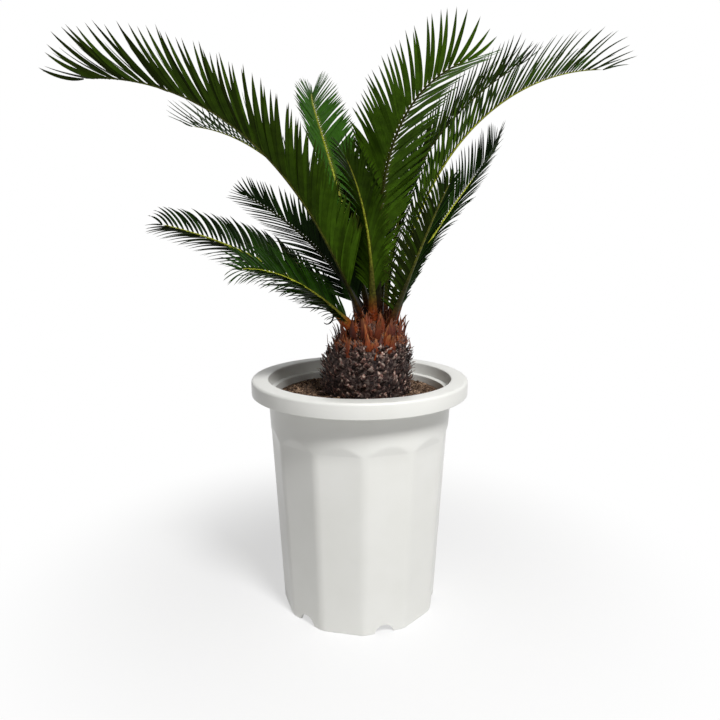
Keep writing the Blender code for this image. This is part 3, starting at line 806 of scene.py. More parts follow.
class SagoFrondSettings(bpy.types.PropertyGroup):
    leaflet_spacing: FloatProperty(
        name="Leaflet spacing",
        description="Distance between leaflets, for each millimetre of their frond's own figure",
        default=0.001, min=0.0005, unit="LENGTH",
    )
    leaflet_width: FloatProperty(
        name="Leaflet width",
        description="Width of the leaflets, for each millimetre of their frond's own figure",
        default=0.001, min=0.0002, unit="LENGTH",
    )
    leaflet_thickness: FloatProperty(
        name="Leaflet thickness", description="Thickness of a leaflet with its rolled edges",
        default=0.0010, min=0.0002, unit="LENGTH",
    )
    leaflet_steps: IntProperty(
        name="Leaflet steps", description="Sections along each leaflet",
        default=8, min=3, max=24,
    )
    upper_fresh: FloatVectorProperty(
        name="Upper side, fresh", description="Upper side of a young frond's leaflets",
        default=hex_colour("#2D540F"), **COLOUR,
    )
    # The two old colours are near black: partly the dark of old leaflets, partly painted shade for
    # fronds that lie in shadow
    upper_old_and_shade: FloatVectorProperty(
        name="Upper side, old", description="Upper side of an old frond's leaflets",
        default=hex_colour("#0E1E03"), **COLOUR,
    )
    under_fresh: FloatVectorProperty(
        name="Under side, fresh", description="Under side of a young frond's leaflets",
        default=hex_colour("#4E7313"), **COLOUR,
    )
    under_old_and_shade: FloatVectorProperty(
        name="Under side, old", description="Under side of an old frond's leaflets",
        default=hex_colour("#1D2702"), **COLOUR,
    )
    leaflet_foot: FloatVectorProperty(
        name="Leaflet foot", description="Yellow-green foot of each leaflet",
        default=hex_colour("#56641E"), **COLOUR,
    )
    leaflet_tip: FloatVectorProperty(
        name="Leaflet point", description="Dry point of each leaflet",
        default=hex_colour("#3A3014"), **COLOUR,
    )
    stalk: FloatVectorProperty(
        name="Stalk", description="Stalk and midrib above the wool",
        default=hex_colour("#A4AC34"), **COLOUR,
    )
    stalk_middle: FloatVectorProperty(
        name="Stalk, low part",
        description="Brown part of the stalk between its foot and its green",
        default=hex_colour("#5A5A1C"), **COLOUR,
    )
    stalk_foot: FloatVectorProperty(
        name="Stalk foot", description="Stalk where it leaves the wool",
        default=hex_colour("#8E3E18"), **COLOUR,
    )


class SAGO_OT_make_fronds(bpy.types.Operator):
    """Makes every frond: its stalk, its midrib and two rows of leaflets"""

    bl_idname = "sago.make_fronds"
    bl_label = "Make fronds"

    def execute(self, context):
        settings = context.scene.sago_fronds
        materials = [
            leaf_material("waxy_leaf_upper_side", settings.upper_fresh, settings.upper_old_and_shade,
                          settings.leaflet_foot, settings.leaflet_tip, 0.36),
            leaf_material("leaf_under_side", settings.under_fresh, settings.under_old_and_shade,
                          settings.leaflet_foot, settings.leaflet_tip, 0.5),
            stalk_material(settings.stalk_foot, settings.stalk_middle, settings.stalk),
        ]
        crown = solid_surface("trunk")
        for frond in FRONDS:
            make_frond(frond, seat(crown, frond), settings, materials)
        return {"FINISHED"}


def solid_surface(node):
    """A solid's surface to measure from."""
    surface = bmesh.new()
    surface.from_mesh(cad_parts[node].data)
    tree = BVHTree.FromBMesh(surface)
    surface.free()
    return tree


# ---- trunk


def outline_point(share):
    """(radius, height) at a share of the way down the trunk's outline, by Catmull-Rom."""
    last = len(TRUNK_OUTLINE) - 1
    position = min(share * last, last - 1e-9)
    i = int(position)
    t = position - i
    a, b, c, d = (Vector(TRUNK_OUTLINE[min(max(j, 0), last)]) for j in range(i - 1, i + 3))
    line = 2.0 * b + (c - a) * t
    line += (2.0 * a - 5.0 * b + 4.0 * c - d) * t**2 + (3.0 * (b - c) + d - a) * t**3
    return max(line[0] / 2.0, 0.0), line[1] / 2.0


def trunk_middle(height):
    lean = smooth(height, LEAN_START, LEAN_END)
    return POT_AXIS + Vector((mix(TRUNK_OFFSET, CROWN_OFFSET, lean), 0.0, 0.0))


def trunk_point(share, degrees, grow=0.0):
    radius, height = outline_point(share)
    return trunk_middle(height) + polar(radius + grow, degrees, height)


def add_trunk_core(shape):
    """The trunk under its leaf bases, closed below the soil."""
    rings = []
    for i in range(1, CORE_RINGS + 1):
        share = i / CORE_RINGS
        corners = []
        for j in range(CORE_COLUMNS):
            degrees = 360.0 * j / CORE_COLUMNS
            rough = lumps(trunk_point(share, degrees, -CORE_INSET), *CORE_LUMPS)
            corners.append(trunk_point(share, degrees, rough - CORE_INSET))
        height = corners[0].z
        wool = smooth(height, WOOL_BOTTOM, WOOL_TOP)
        # Along 0.2 gives the core, deep among the leaf bases, much of their painted crevice shade
        rings.append(shape.ring(corners, 0.2, 0.3 + 0.5 * wool))
    shape.loft(rings[::-1])


def add_leaf_base(shape, share, degrees, size, rng):
    """The broken end of an old leaf stalk: a broad wedge turned up against the trunk."""
    lift = rng.uniform(40.0, 85.0)
    lean = math.radians(rng.gauss(0.0, 18.0))
    width = size * rng.uniform(0.55, 0.9)
    stations = LEAF_BASE_STATIONS
    rises = [mix(lift - 20.0, lift + 25.0, t) for t in stations]
    lengths = [size * (high - low) for low, high in zip(stations, stations[1:])]
    root = trunk_point(share, degrees, LEAF_BASE_ROOT)
    places, normals = rising_strip(root, degrees, rises, [lean] * len(lengths), lengths)
    widths = [width * rng.uniform(0.8, 1.15) * (1.0 - 0.8 * t * t) for t in stations]
    depths = [width * rng.uniform(0.2, 0.4) * (1.0 - 0.5 * t) for t in stations]
    tone = rng.random()
    shape.blade(places, normals, widths, depths, LEAF_BASE_PROFILE, alongs=stations, tone=tone)


def add_flake(shape, share, degrees, size, rng):
    """A thin torn strip of old leaf base that stands off the trunk and curls."""
    lift = rng.uniform(15.0, 75.0)
    curl = rng.uniform(-40.0, 80.0)
    lean = math.radians(rng.gauss(0.0, 35.0))
    steps = 5
    root = trunk_point(share, degrees, rng.uniform(*FLAKE_ROOTS))
    rises = [lift + curl * i / steps for i in range(steps)]
    places, normals = rising_strip(root, degrees, rises, [lean] * steps, [size / steps] * steps)
    width = rng.uniform(*FLAKE_WIDTHS)
    widths = [width * (1.0 - 0.6 * i / steps) for i in range(steps + 1)]
    depths = [FLAKE_THICKNESS] * (steps + 1)
    shape.blade(places, normals, widths, depths, SCALE_LEAF_PROFILE, tone=rng.random())


def make_trunk(settings, material):
    """The trunk: its core, a spiral of old leaf bases, and flakes torn off them."""
    rng = random.Random("trunk")
    shape = Shape()
    add_trunk_core(shape)
    for i in range(settings.leaf_bases):
        share = mix(*LEAF_BASE_RUN, (i + 0.5) / settings.leaf_bases)
        degrees = i * GOLDEN_ANGLE + rng.gauss(0.0, 3.0)
        size = settings.leaf_base_length * rng.uniform(0.7, 1.2)
        add_leaf_base(shape, share, degrees, size, rng)
    for _ in range(settings.flakes):
        size = settings.leaf_base_length * rng.uniform(0.4, 0.9)
        add_flake(shape, rng.uniform(*LEAF_BASE_RUN), rng.uniform(0.0, 360.0), size, rng)
    piece = shape.make("trunk_leaf_bases", [material], sharp=40)
    dress(piece, "trunk", "trunk")


def add_wool_hair(shape, root, direction, length, width, rng):
    """One tuft of wool: a thin tapered strand that bends over."""
    steps = 4
    bend = Vector([rng.gauss(0.0, 0.5) for _ in range(3)])
    places = [root]
    normals = []
    for i in range(steps):
        direction = (direction + bend / steps - UP * 0.08).normalized()
        places.append(places[-1] + direction * length / steps)
        normals.append(direction.orthogonal())
    widths = [width * (1.0 - 0.6 * i / steps) for i in range(steps + 1)]
    shape.blade(places, normals, widths, widths, WOOL_PROFILE, tone=rng.random())


def make_wool(settings, material, starts):
    """Rust wool over the crown and up the feet of the stalks."""
    rng = random.Random("wool")
    shape = Shape()
    for i in range(settings.wool_hairs):
        share = mix(*WOOL_RUN, math.sqrt(rng.random()))
        degrees = rng.uniform(0.0, 360.0)
        root = trunk_point(share, degrees, CROWN_ROOT)
        direction = (polar(0.6, degrees + rng.gauss(0.0, 25.0)) + UP).normalized()
        length = settings.wool_length * rng.uniform(0.4, 1.0)
        add_wool_hair(shape, root, direction, length, settings.wool_width, rng)
    for frond in FRONDS:
        points = midrib(frond, starts[frond.name], STALK_STATIONS)
        for _ in range(settings.wool_hairs // STALK_WOOL_SHARE):
            share = STALK_WOOL_REACH * rng.random() / frond.length
            where = share * STALK_STATIONS
            root = points[int(where)].lerp(points[int(where) + 1], where % 1.0)
            along, right, over = frond_sides(frond, share)
            angle = rng.uniform(0.0, 2.0 * math.pi)
            around = right * math.cos(angle) + over * math.sin(angle)
            root = root + around * stalk_radius(share) * 0.8
            direction = (around * 0.6 + along).normalized()
            length = settings.wool_length * rng.uniform(0.3, 0.7)
            add_wool_hair(shape, root, direction, length, settings.wool_width, rng)
    piece = shape.make("crown_wool", [material])
    dress(piece, "scale_leaf")


def add_scale_leaf(shape, root, degrees, rise, dip, length, width, tone, rng):
    """A pointed scale leaf: broad at its foot, then a thin spine that curves."""
    steps = 8
    sway = rng.gauss(0.0, 0.25)
    hook = rng.uniform(-30.0, 50.0)
    taper = rng.uniform(0.35, 0.9)
    middles = [(i + 0.5) / steps for i in range(steps)]
    rises = [mix(rise, dip, smooth(t, 0.0, 0.7)) - hook * t * t for t in middles]
    leans = [sway * t for t in middles]
    places, normals = rising_strip(root, degrees, rises, leans, [length / steps] * steps)
    shares = [i / steps for i in range(steps + 1)]
    widths = [width * (1.0 - t) ** taper for t in shares]
    depths = [width * 0.22 * (0.3 + 0.7 * (1.0 - t)) for t in shares]
    shape.blade(places, normals, widths, depths, SCALE_LEAF_PROFILE, tone=tone)


def make_scale_leaves(settings, material):
    """One piece for each solid scale leaf: a broad leaf, smaller neighbours and a dry ribbon."""
    rng = random.Random("scale leaves")
    for i in range(SCALE_LEAF_COUNT):
        shape = Shape()
        bearing = SCALE_LEAF_TURN + 360.0 * i / SCALE_LEAF_COUNT
        for j in range(settings.scale_leaves_a_place):
            turn = bearing + rng.uniform(-SCALE_LEAF_SPREAD, SCALE_LEAF_SPREAD) * (j > 0)
            share = mix(*SCALE_LEAF_RUN, rng.random()) if j else BROAD_LEAF_PLACE
            low = share / SCALE_LEAF_RUN[1]
            length = settings.scale_leaf_length * rng.uniform(0.4, 1.1)
            width = settings.scale_leaf_width * rng.uniform(0.5, 1.4)
            rise = mix(95.0, 70.0, low) + rng.gauss(0.0, 7.0)
            dip = rise + rng.uniform(5.0, 35.0)
            tone = mix(0.6, 0.9, low) * rng.random()
            if j == 0:
                length = BROAD_LEAF_SIZE * settings.scale_leaf_length
                rise = SCALE_LEAF_RISE
            elif j == settings.scale_leaves_a_place - 1:
                # The dry ribbon, torn off along its sides
                share = rng.uniform(*RIBBON_RUN)
                length *= rng.uniform(0.8, 1.6)
                width *= RIBBON_WIDTH
                rise = rng.uniform(50.0, 80.0)
                dip = rng.uniform(60.0, 130.0)
                tone = 1.0
            root = trunk_point(share, turn, CROWN_ROOT)
            add_scale_leaf(shape, root, turn, rise, dip, length, width, tone, rng)
        piece = shape.make(f"scale_leaf_cluster_{i + 1:02d}", [material], sharp=50)
        dress(piece, "scale_leaf", f"scale_leaf_{i + 1:02d}")


class SagoTrunkSettings(bpy.types.PropertyGroup):
    leaf_bases: IntProperty(
        name="Leaf bases", description="Old leaf bases on the trunk", default=340, min=1,
    )
    flakes: IntProperty(
        name="Flakes", description="Thin torn strips on the leaf bases", default=700, min=0,
    )
    leaf_base_length: FloatProperty(
        name="Leaf base length", description="Length of an old leaf base",
        default=0.0092, min=0.002, unit="LENGTH",
    )
    wool_hairs: IntProperty(
        name="Wool strands", description="Strands of wool on the crown", default=2400, min=0,
    )
    wool_length: FloatProperty(
        name="Wool length", description="Length of the longest strand",
        default=0.007, min=0.001, unit="LENGTH",
    )
    wool_width: FloatProperty(
        name="Strand width", description="Width of a strand of wool at its root",
        default=0.0007, min=0.0001, unit="LENGTH",
    )
    scale_leaves_a_place: IntProperty(
        name="Scale leaves a place", description="Scale leaves at each of the 16 places",
        default=8, min=1,
    )
    scale_leaf_length: FloatProperty(
        name="Scale leaf length", description="Length of a large scale leaf",
        default=0.022, min=0.005, unit="LENGTH",
    )
    scale_leaf_width: FloatProperty(
        name="Scale leaf width", description="Width of a scale leaf at its foot",
        default=0.0085, min=0.001, unit="LENGTH",
    )
    base_dark: FloatVectorProperty(
        name="Leaf bases, rotted", description="Rotted parts of old leaf bases",
        default=hex_colour("#4C3836"), **COLOUR,
    )
    base_colour: FloatVectorProperty(
        name="Leaf bases", description="Old leaf bases",
        default=hex_colour("#98746C"), **COLOUR,
    )
    base_edge: FloatVectorProperty(
        name="Leaf base ends", description="Worn ends of old leaf bases",
        default=hex_colour("#E2D8CE"), **COLOUR,
    )
    wool_deep: FloatVectorProperty(
        name="Wool, deep", description="Darker strands of wool",
        default=hex_colour("#6A2E12"), **COLOUR,
    )
    wool_colour: FloatVectorProperty(
        name="Wool", description="Lighter strands of wool",
        default=hex_colour("#B46A34"), **COLOUR,
    )
    scale_foot: FloatVectorProperty(
        name="Scale leaf feet", description="Rusty lower half of the scale leaves",
        default=hex_colour("#984A1C"), **COLOUR,
    )
    scale_colour: FloatVectorProperty(
        name="Scale leaves", description="Dry scale leaves",
        default=hex_colour("#B07C4C"), **COLOUR,
    )


class SAGO_OT_make_trunk(bpy.types.Operator):
    """Makes the trunk with its old leaf bases"""

    bl_idname = "sago.make_trunk"
    bl_label = "Make trunk"

    def execute(self, context):
        settings = context.scene.sago_trunk
        material = leaf_base_material(
            settings.base_dark, settings.base_colour, settings.base_edge
        )
        make_trunk(settings, material)
        return {"FINISHED"}


class SAGO_OT_make_crown(bpy.types.Operator):
    """Makes the crown's wool and scale leaves"""

    bl_idname = "sago.make_crown"
    bl_label = "Make crown"

    def execute(self, context):
        settings = context.scene.sago_trunk
        crown = solid_surface("trunk")
        starts = {frond.name: seat(crown, frond) for frond in FRONDS}
        make_wool(settings, wool_material(settings.wool_deep, settings.wool_colour), starts)
        make_scale_leaves(
            settings, scale_leaf_material(settings.scale_foot, settings.scale_colour)
        )
        return {"FINISHED"}


# ---- soil


def wall_radius(height):
    """The pot's inside, below its ledge."""
    share = (height - POT_FLOOR_TOP) / (LEDGE_HEIGHT - POT_FLOOR_TOP)
    return mix(POT_FLOOR_RADIUS, WALL_TOP_RADIUS, share)


def soil_height(x, y):
    """Height of the soil's rough surface at a place measured from the pot's axis."""
    edge = wall_radius(SOIL_HEIGHT)
    distance = math.hypot(x, y)
    height = SOIL_HEIGHT + SOIL_MOUND * (1.0 - smooth(distance, 0.4 * edge, edge))
    place = Vector((x, y, 0.0))
    return height + lumps(place, *SOIL_LUMPS) + lumps(place, *SOIL_CRUMBLE)


def add_crumb(shape, place, size, tone, rng):
    """An angular crumb of bark or grit: three uneven rings, squashed and turned at random."""
    turn = Matrix.Rotation(rng.uniform(0.0, 6.28), 3, Vector([rng.gauss(0, 1) for _ in "xyz"]))
    squash = Vector((1.0, rng.uniform(0.5, 0.9), rng.uniform(0.4, 0.8))) * size
    rings = []
    for level, width in ((-0.6, 0.7), (0.1, 1.0), (0.6, 0.6)):
        corners = []
        for i in range(CRUMB_SIDES):
            spot = polar(width * rng.uniform(0.8, 1.1), 360.0 * i / CRUMB_SIDES, level)
            spot = Vector(a * b for a, b in zip(spot, squash))
            corners.append(place + turn @ spot)
        rings.append(shape.ring(corners, 0.0, tone))
    shape.loft(rings)


def make_soil(settings, material):
    """The soil's rough surface, closed below, with loose crumbs on it."""
    rng = random.Random("soil")
    shape = Shape()
    edge = wall_radius(SOIL_HEIGHT) - SOIL_GAP
    rings = []
    for i in range(1, SOIL_RINGS + 1):
        corners = []
        for j in range(SOIL_COLUMNS):
            spot = polar(edge * i / SOIL_RINGS, 360.0 * j / SOIL_COLUMNS)
            spot.z = soil_height(spot.x, spot.y)
            corners.append(POT_AXIS + spot)
        rings.append(shape.ring(corners, 0.0, 0.2))
    bottom = SOIL_HEIGHT - SOIL_DEPTH
    corners = [
        POT_AXIS + polar(wall_radius(bottom) - SOIL_GAP, 360.0 * j / SOIL_COLUMNS, bottom)
        for j in range(SOIL_COLUMNS)
    ]
    rings.append(shape.ring(corners, 0.0, 0.2))
    shape.loft(rings[::-1])
    for _ in range(settings.crumbs):
        size = CRUMB_SMALLEST + CRUMB_SPREAD * rng.random() ** 2.5
        radius = (edge - 2.0 * size) * math.sqrt(rng.uniform(0.12, 1.0))
        spot = polar(radius, rng.uniform(0.0, 360.0))
        spot.z = soil_height(spot.x, spot.y) + 0.2 * size
        tone = rng.random() ** 1.6
        add_crumb(shape, POT_AXIS + spot, size, tone, rng)
    piece = shape.make("potting_mix_surface", [material], sharp=40)
    dress(piece, "soil", "soil")


class SagoSoilSettings(bpy.types.PropertyGroup):
    crumbs: IntProperty(
        name="Crumbs", description="Loose crumbs on the soil", default=2200, min=0,
    )
    dark: FloatVectorProperty(
        name="Damp soil", description="Damp crumbs",
        default=hex_colour("#4E3828"), **COLOUR,
    )
    pale: FloatVectorProperty(
        name="Dry soil", description="Dry crumbs",
        default=hex_colour("#C4A488"), **COLOUR,
    )


class SAGO_OT_make_soil(bpy.types.Operator):
    """Makes the soil with its loose crumbs"""

    bl_idname = "sago.make_soil"
    bl_label = "Make soil"

    def execute(self, context):
        settings = context.scene.sago_soil
        make_soil(settings, soil_material("potting_mix", settings.dark, settings.pale))
        return {"FINISHED"}


# ---- pot


def body_radius(heading, height):
    """Radius of the pot's outside: the cone, cut back by twelve flats under the collar.

    The flats lean out to meet the collar, so that each one ends in an arch.
    """
    cone = mix(FOOT_RADIUS, COLLAR_RADIUS, height / COLLAR_BOTTOM)
    half_side = 180.0 / POT_SIDES
    from_middle = (heading - POT_CORNER) % (2.0 * half_side) - half_side
    lean = FLAT_RISE * max(0.0, height - FLAT_TOP) / (COLLAR_BOTTOM - FLAT_TOP)
    flat = cone * math.cos(math.radians(half_side) - CORNER_STRIP / 2.0 / cone) + lean
    flat /= math.cos(math.radians(from_middle))
    blend = max(CORNER_SOFTNESS - abs(cone - flat), 0.0) / CORNER_SOFTNESS
    return min(cone, flat) - 0.25 * CORNER_SOFTNESS * blend * blend


def rounding(radius, height, size, start, end, steps=5):
    """(radius, height) points round a corner, from start to end degrees about its middle."""
    points = []
    for i in range(steps + 1):
        angle = math.radians(mix(start, end, i / steps))
        points.append((radius + size * math.cos(angle), height + size * math.sin(angle)))
    return points


def levels(low, high, count):
    return [mix(low, high, i / count) for i in range(count + 1)]


def pot_outline():
    """(radius or None, height) from the floor inside, over the rim, to the foot.

    None stands for the outside of the body, which isn't round.
    """
    skirt_bottom = POT_HEIGHT - RIM_SKIRT
    outline = [(wall_radius(z), z) for z in levels(POT_FLOOR_TOP, LEDGE_HEIGHT - WALL_FILLET, 10)]
    outline += [(WALL_TOP_RADIUS, LEDGE_HEIGHT - SMALL_CORNER)]
    outline += [(WALL_TOP_RADIUS + SMALL_CORNER, LEDGE_HEIGHT)]
    outline += [(LEDGE_RADIUS - LEDGE_FILLET, LEDGE_HEIGHT + LEDGE_SLOPE * 0.6)]
    outline += [(LEDGE_RADIUS, LEDGE_HEIGHT + LEDGE_SLOPE)]
    outline += [(MOUTH_RADIUS - MOUTH_TAPER, POT_HEIGHT - MOUTH_DEPTH)]
    size = MOUTH_ROUNDING
    outline += rounding(MOUTH_RADIUS + size, POT_HEIGHT - size, size, 180.0, 90.0)
    size = RIM_ROUNDING
    outline += rounding(RIM_RADIUS - size, POT_HEIGHT - size, size, 90.0, 0.0, 8)
    size = SKIRT_ROUNDING
    outline += rounding(RIM_RADIUS - size, skirt_bottom + size, size, 0.0, -90.0, 4)
    inner = RIM_RADIUS - RIM_THICKNESS
    outline += [(inner + SMALL_CORNER, skirt_bottom), (inner, skirt_bottom + SMALL_CORNER)]
    size = SKIRT_FILLET
    rim_underside = POT_HEIGHT - RIM_THICKNESS
    outline += rounding(inner - size, rim_underside - size, size, 0.0, 90.0, 4)
    outline += [(None, rim_underside)]
    outline += [(None, z) for z in levels(rim_underside - size, COLLAR_BOTTOM, 6)]
    outline += [(None, z) for z in levels(COLLAR_BOTTOM, FLAT_TOP, 12)[1:]]
    outline += [(None, z) for z in levels(FLAT_TOP, FOOT_CHAMFER + FOOT_BAND, 16)[1:]]
    outline += [(None, FOOT_CHAMFER)]
    return outline


def pot_dust(radius, height):
    """How soiled the inside wall is just above the soil: 0 clean, 1 brown."""
    inside = radius is not None and radius < MOUTH_RADIUS
    return DUST_LEVEL * inside * (1.0 - smooth(height - SOIL_HEIGHT, DUST_START, DUST_END))


def make_pot(settings, material):
    """A loft from a twelve-sided foot to a round rim, with the inside of its walls."""
    columns = POT_SIDES * settings.columns_a_side
    headings = [POT_CORNER + 360.0 * i / columns for i in range(columns)]
    shape = Shape()

    def ring(radius, height, inset=0.0):
        corners = []
        for heading in headings:
            r = body_radius(heading, height) if radius is None else radius
            corners.append(POT_AXIS + polar(r - inset, heading, height))
        return shape.ring(corners, 0.0, pot_dust(radius, height))

    rings = [ring(radius, height) for radius, height in pot_outline()]
    rings.append(ring(None, CHAMFER_STEP, CHAMFER_STEP))
    rings.append(ring(None, 0.0, FOOT_CHAMFER))
    rings.append(ring(None, 0.0, FOOT_WALL))
    rings.append(ring(FOOT_RADIUS - 2.0 * FOOT_WALL, POT_FLOOR_UNDERSIDE))
    shape.loft(rings)
    pot = shape.make("moulded_pot", [material])
    cut_pot(pot)
    pot.data.set_sharp_from_angle(angle=math.radians(28))
    dress(pot, "pot", "pot")


def add_cylinder(shape, middle, across, up, radius, reach, columns):
    """A closed cylinder, reach long either way from its middle, square to across and up."""
    rings = []
    for end in (-reach, reach):
        corners = []
        for j in range(columns):
            angle = 2.0 * math.pi * j / columns
            spot = across * math.cos(angle) + up * math.sin(angle)
            corners.append(middle + across.cross(up) * end + spot * radius)
        rings.append(shape.ring(corners))
    shape.loft(rings)


def cut_pot(pot):
    """Cut the arched notches in the foot and the drain holes in the floor."""
    shape = Shape()
    holes = [(DRAIN_RADIUS, Vector())]
    for i in range(NOTCH_COUNT):
        corner = POT_CORNER + 360.0 * i / NOTCH_COUNT
        heading = corner + 180.0 / POT_SIDES
        middle = POT_AXIS + polar(FOOT_RADIUS, heading, NOTCH_CENTRE)
        side = UP.cross(polar(1.0, heading))
        add_cylinder(shape, middle, side, UP, NOTCH_RADIUS, NOTCH_REACH, NOTCH_COLUMNS)
        holes.append((SIDE_DRAIN_RADIUS, polar(SIDE_DRAIN_RING, corner)))
    for radius, place in holes:
        middle = POT_AXIS + place + UP * POT_FLOOR_TOP
        add_cylinder(shape, middle, ACROSS, BACK, radius, DRAIN_REACH, DRAIN_COLUMNS)
    cutter = shape.make("pot_cutter", list(pot.data.materials))
    modifier = pot.modifiers.new("cut", "BOOLEAN")
    modifier.operation = "DIFFERENCE"
    modifier.solver = "EXACT"
    modifier.object = cutter
    bpy.context.view_layer.update()
    evaluated = pot.evaluated_get(bpy.context.evaluated_depsgraph_get())
    mesh = bpy.data.meshes.new_from_object(evaluated)
    pot.modifiers.clear()
    pot.data = mesh
    bpy.data.objects.remove(cutter)


class SagoPotSettings(bpy.types.PropertyGroup):
    columns_a_side: IntProperty(
        name="Columns a side", description="Mesh columns across each flat side",
        default=20, min=2,
    )
    colour: FloatVectorProperty(
        name="Plastic", description="The pot's plastic",
        default=hex_colour("#E9E9E5"), **COLOUR,
    )
    dust: FloatVectorProperty(
        name="Soil marks", description="Soil dust on the inside wall",
        default=hex_colour("#7A6452"), **COLOUR,
    )
    roughness: FloatProperty(
        name="Roughness", description="Roughness of the moulded surface",
        default=0.34, min=0.0, max=1.0, subtype="FACTOR",
    )


class SAGO_OT_make_pot(bpy.types.Operator):
    """Makes the moulded pot with its collar, rim, foot notches and drain holes"""

    bl_idname = "sago.make_pot"
    bl_label = "Make pot"

    def execute(self, context):
        settings = context.scene.sago_pot
        make_pot(settings, pot_material(settings.colour, settings.dust, settings.roughness))
        return {"FINISHED"}


# ---- stage


def add_lamp(name, place, size, power):
    """A soft round lamp that faces the middle of the plant."""
    light = bpy.data.lights.new(name, "AREA")
    light.shape = "DISK"
    light.size = size
    light.energy = power
    lamp = add_object(name, light)
    lamp.location = place
    lamp.rotation_euler = (LAMP_AIM - place).to_track_quat("-Z", "Y").to_euler()


def sees_background(tree):
    """1 for camera, glossy and transmission rays, which meet the plain white background."""
    path = add_node(tree, "ShaderNodeLightPath")
    total = path.outputs["Is Camera Ray"]
    for ray in ("Is Glossy Ray", "Is Transmission Ray"):
        links = {0: total, 1: path.outputs[ray]}
        total = add_node(tree, "ShaderNodeMath", {"operation": "MAXIMUM"}, links).outputs[0]
    return total


def make_world(light_level):
    """A white background, and a plain pale light from all round."""
    world = bpy.data.worlds.new("plain_studio")
    bpy.context.scene.world = world
    world.use_nodes = True
    tree = world.node_tree
    tree.nodes.clear()
    settings = {"Color": hex_colour("#FFFAF4"), "Strength": light_level}
    lit = add_node(tree, "ShaderNodeBackground", settings)
    seen = add_node(tree, "ShaderNodeBackground", {"Color": (1, 1, 1, 1), "Strength": 1.0})
    links = {0: sees_background(tree), 1: lit.outputs[0], 2: seen.outputs[0]}
    choice = add_node(tree, "ShaderNodeMixShader", links=links)
    add_node(tree, "ShaderNodeOutputWorld", links={"Surface": choice.outputs[0]})


def make_floor():
    """A pale matt floor that holds the object's shadow and fades to white further out."""
    mesh = bpy.data.meshes.new("studio_floor")
    grown = bmesh.new()
    bmesh.ops.create_circle(grown, cap_ends=True, radius=FLOOR_RADIUS, segments=FLOOR_COLUMNS)
    grown.to_mesh(mesh)
    grown.free()
    floor = add_object("studio_floor", mesh)
    pale = hex_colour("#F4F4F4")
    paint = new_material(
        "matt_paper_floor", (), Base_Color=pale, Roughness=0.9, Specular_IOR_Level=0.1
    )
    tree = paint.tree
    place = add_node(tree, "ShaderNodeTexCoord").outputs["Object"]
    length = add_node(tree, "ShaderNodeVectorMath", {"operation": "LENGTH"}, {0: place})
    start, end = FLOOR_FADE
    settings = {"From Min": start, "From Max": end, "interpolation_type": "SMOOTHSTEP"}
    fade = add_node(tree, "ShaderNodeMapRange", settings, {"Value": length.outputs["Value"]})
    links = {"Value": fade.outputs[0]}
    glow = add_node(tree, "ShaderNodeMapRange", {"To Min": FLOOR_GLOW}, links)
    links = {0: sees_background(tree), 1: glow.outputs[0]}
    seen = add_node(tree, "ShaderNodeMath", {"operation": "MULTIPLY"}, links)
    white = add_node(tree, "ShaderNodeEmission", {"Color": (1, 1, 1, 1), "Strength": 1.0})
    links = {0: seen.outputs[0], 1: paint.shader.outputs[0], 2: white.outputs[0]}
    choice = add_node(tree, "ShaderNodeMixShader", links=links)
    tree.links.new(choice.outputs[0], tree.nodes["Material Output"].inputs["Surface"])
    mesh.materials.append(paint.material)
    floor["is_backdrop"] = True


class SagoStageSettings(bpy.types.PropertyGroup):
    lens: FloatProperty(
        name="Lens", description="Focal length of the camera", default=32.62, unit="CAMERA",
    )
    distance: FloatProperty(
        name="Camera distance", description="From the pot's axis", default=0.7436, unit="LENGTH",
    )
    height: FloatProperty(
        name="Camera height", description="Above the floor", default=0.4445, unit="LENGTH",
    )
    tilt: FloatProperty(
        name="Camera tilt", description="Below the level",
        default=math.radians(11.35), subtype="ANGLE",
    )
    key_power: FloatProperty(
        name="Key light", description="Soft light from above, front right",
        default=28.4, unit="POWER",
    )
    fill_power: FloatProperty(
        name="Fill light", description="Weak light from the left", default=0.3, unit="POWER",
    )
    ambient: FloatProperty(
        name="Ambient", description="Level of the light from all round", default=0.08,
    )


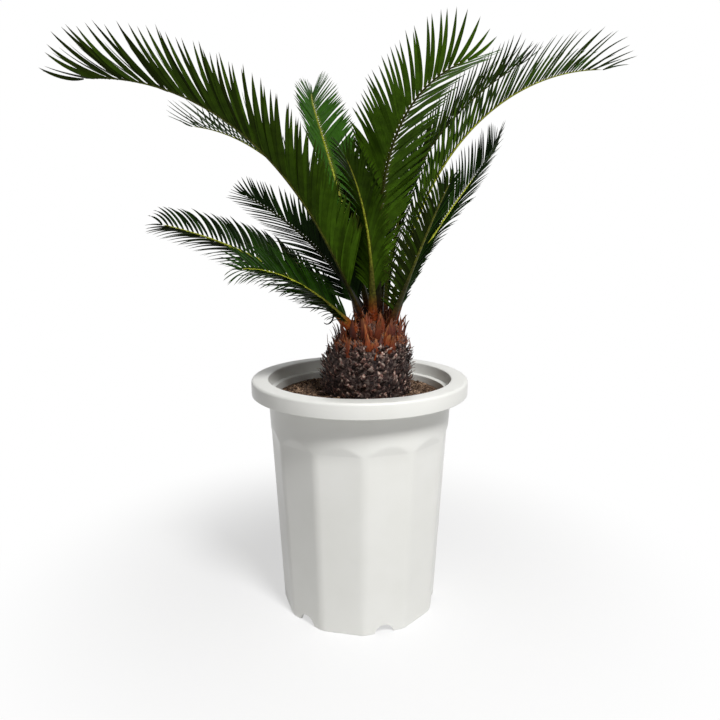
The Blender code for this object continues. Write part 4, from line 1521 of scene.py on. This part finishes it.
class SAGO_OT_make_stage(bpy.types.Operator):
    """Makes the camera, the soft lamps, the white background and the pale floor"""

    bl_idname = "sago.make_stage"
    bl_label = "Make stage"

    def execute(self, context):
        settings = context.scene.sago_stage
        camera = add_object("camera", bpy.data.cameras.new("camera"))
        camera.data.lens = settings.lens
        camera.data.sensor_width = CAMERA_SENSOR
        camera.location = POT_AXIS + Vector((CAMERA_SIDE, -settings.distance, settings.height))
        camera.rotation_euler = (math.pi / 2.0 - settings.tilt, 0.0, 0.0)
        context.scene.camera = camera
        add_lamp("key_lamp", KEY_PLACE, KEY_SIZE, settings.key_power)
        add_lamp("fill_lamp", FILL_PLACE, FILL_SIZE, settings.fill_power)
        make_world(settings.ambient)
        make_floor()
        context.scene.view_settings.view_transform = "Standard"
        return {"FINISHED"}


# ---- add-on


class SAGO_PT_panel(bpy.types.Panel):
    """Lists the steps that make the palm, with their settings"""

    bl_idname = "SAGO_PT_panel"
    bl_label = "Sago palm"
    bl_space_type = "VIEW_3D"
    bl_region_type = "UI"
    bl_category = "Sago palm"

    def draw(self, context):
        layout = self.layout
        for operator, group in STEPS:
            box = layout.box()
            box.operator(operator)
            settings = getattr(context.scene, group)
            for name in settings.__annotations__:
                box.prop(settings, name)


STEPS = (
    ("sago.make_stage", "sago_stage"),
    ("sago.make_pot", "sago_pot"),
    ("sago.make_soil", "sago_soil"),
    ("sago.make_trunk", "sago_trunk"),
    ("sago.make_crown", "sago_trunk"),
    ("sago.make_fronds", "sago_fronds"),
)
GROUPS = {
    "sago_stage": SagoStageSettings,
    "sago_pot": SagoPotSettings,
    "sago_soil": SagoSoilSettings,
    "sago_trunk": SagoTrunkSettings,
    "sago_fronds": SagoFrondSettings,
}
CLASSES = (
    SAGO_OT_make_stage,
    SAGO_OT_make_pot,
    SAGO_OT_make_soil,
    SAGO_OT_make_trunk,
    SAGO_OT_make_crown,
    SAGO_OT_make_fronds,
    SAGO_PT_panel,
)


def register():
    for name, group in GROUPS.items():
        bpy.utils.register_class(group)
        setattr(bpy.types.Scene, name, PointerProperty(type=group))
    for kind in CLASSES:
        bpy.utils.register_class(kind)


def unregister():
    for kind in reversed(CLASSES):
        bpy.utils.unregister_class(kind)
    for name, group in GROUPS.items():
        delattr(bpy.types.Scene, name)
        bpy.utils.unregister_class(group)


def main():
    register()
    bpy.ops.sago.make_stage()
    bpy.ops.sago.make_pot()
    bpy.ops.sago.make_soil()
    bpy.ops.sago.make_trunk()
    bpy.ops.sago.make_crown()
    bpy.ops.sago.make_fronds()
    boxes = {"cad": CAD_BOX, "visual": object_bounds()}
    plain = {name: [list(corner) for corner in box] for name, box in boxes.items()}


if __name__ == "__main__":
    main()
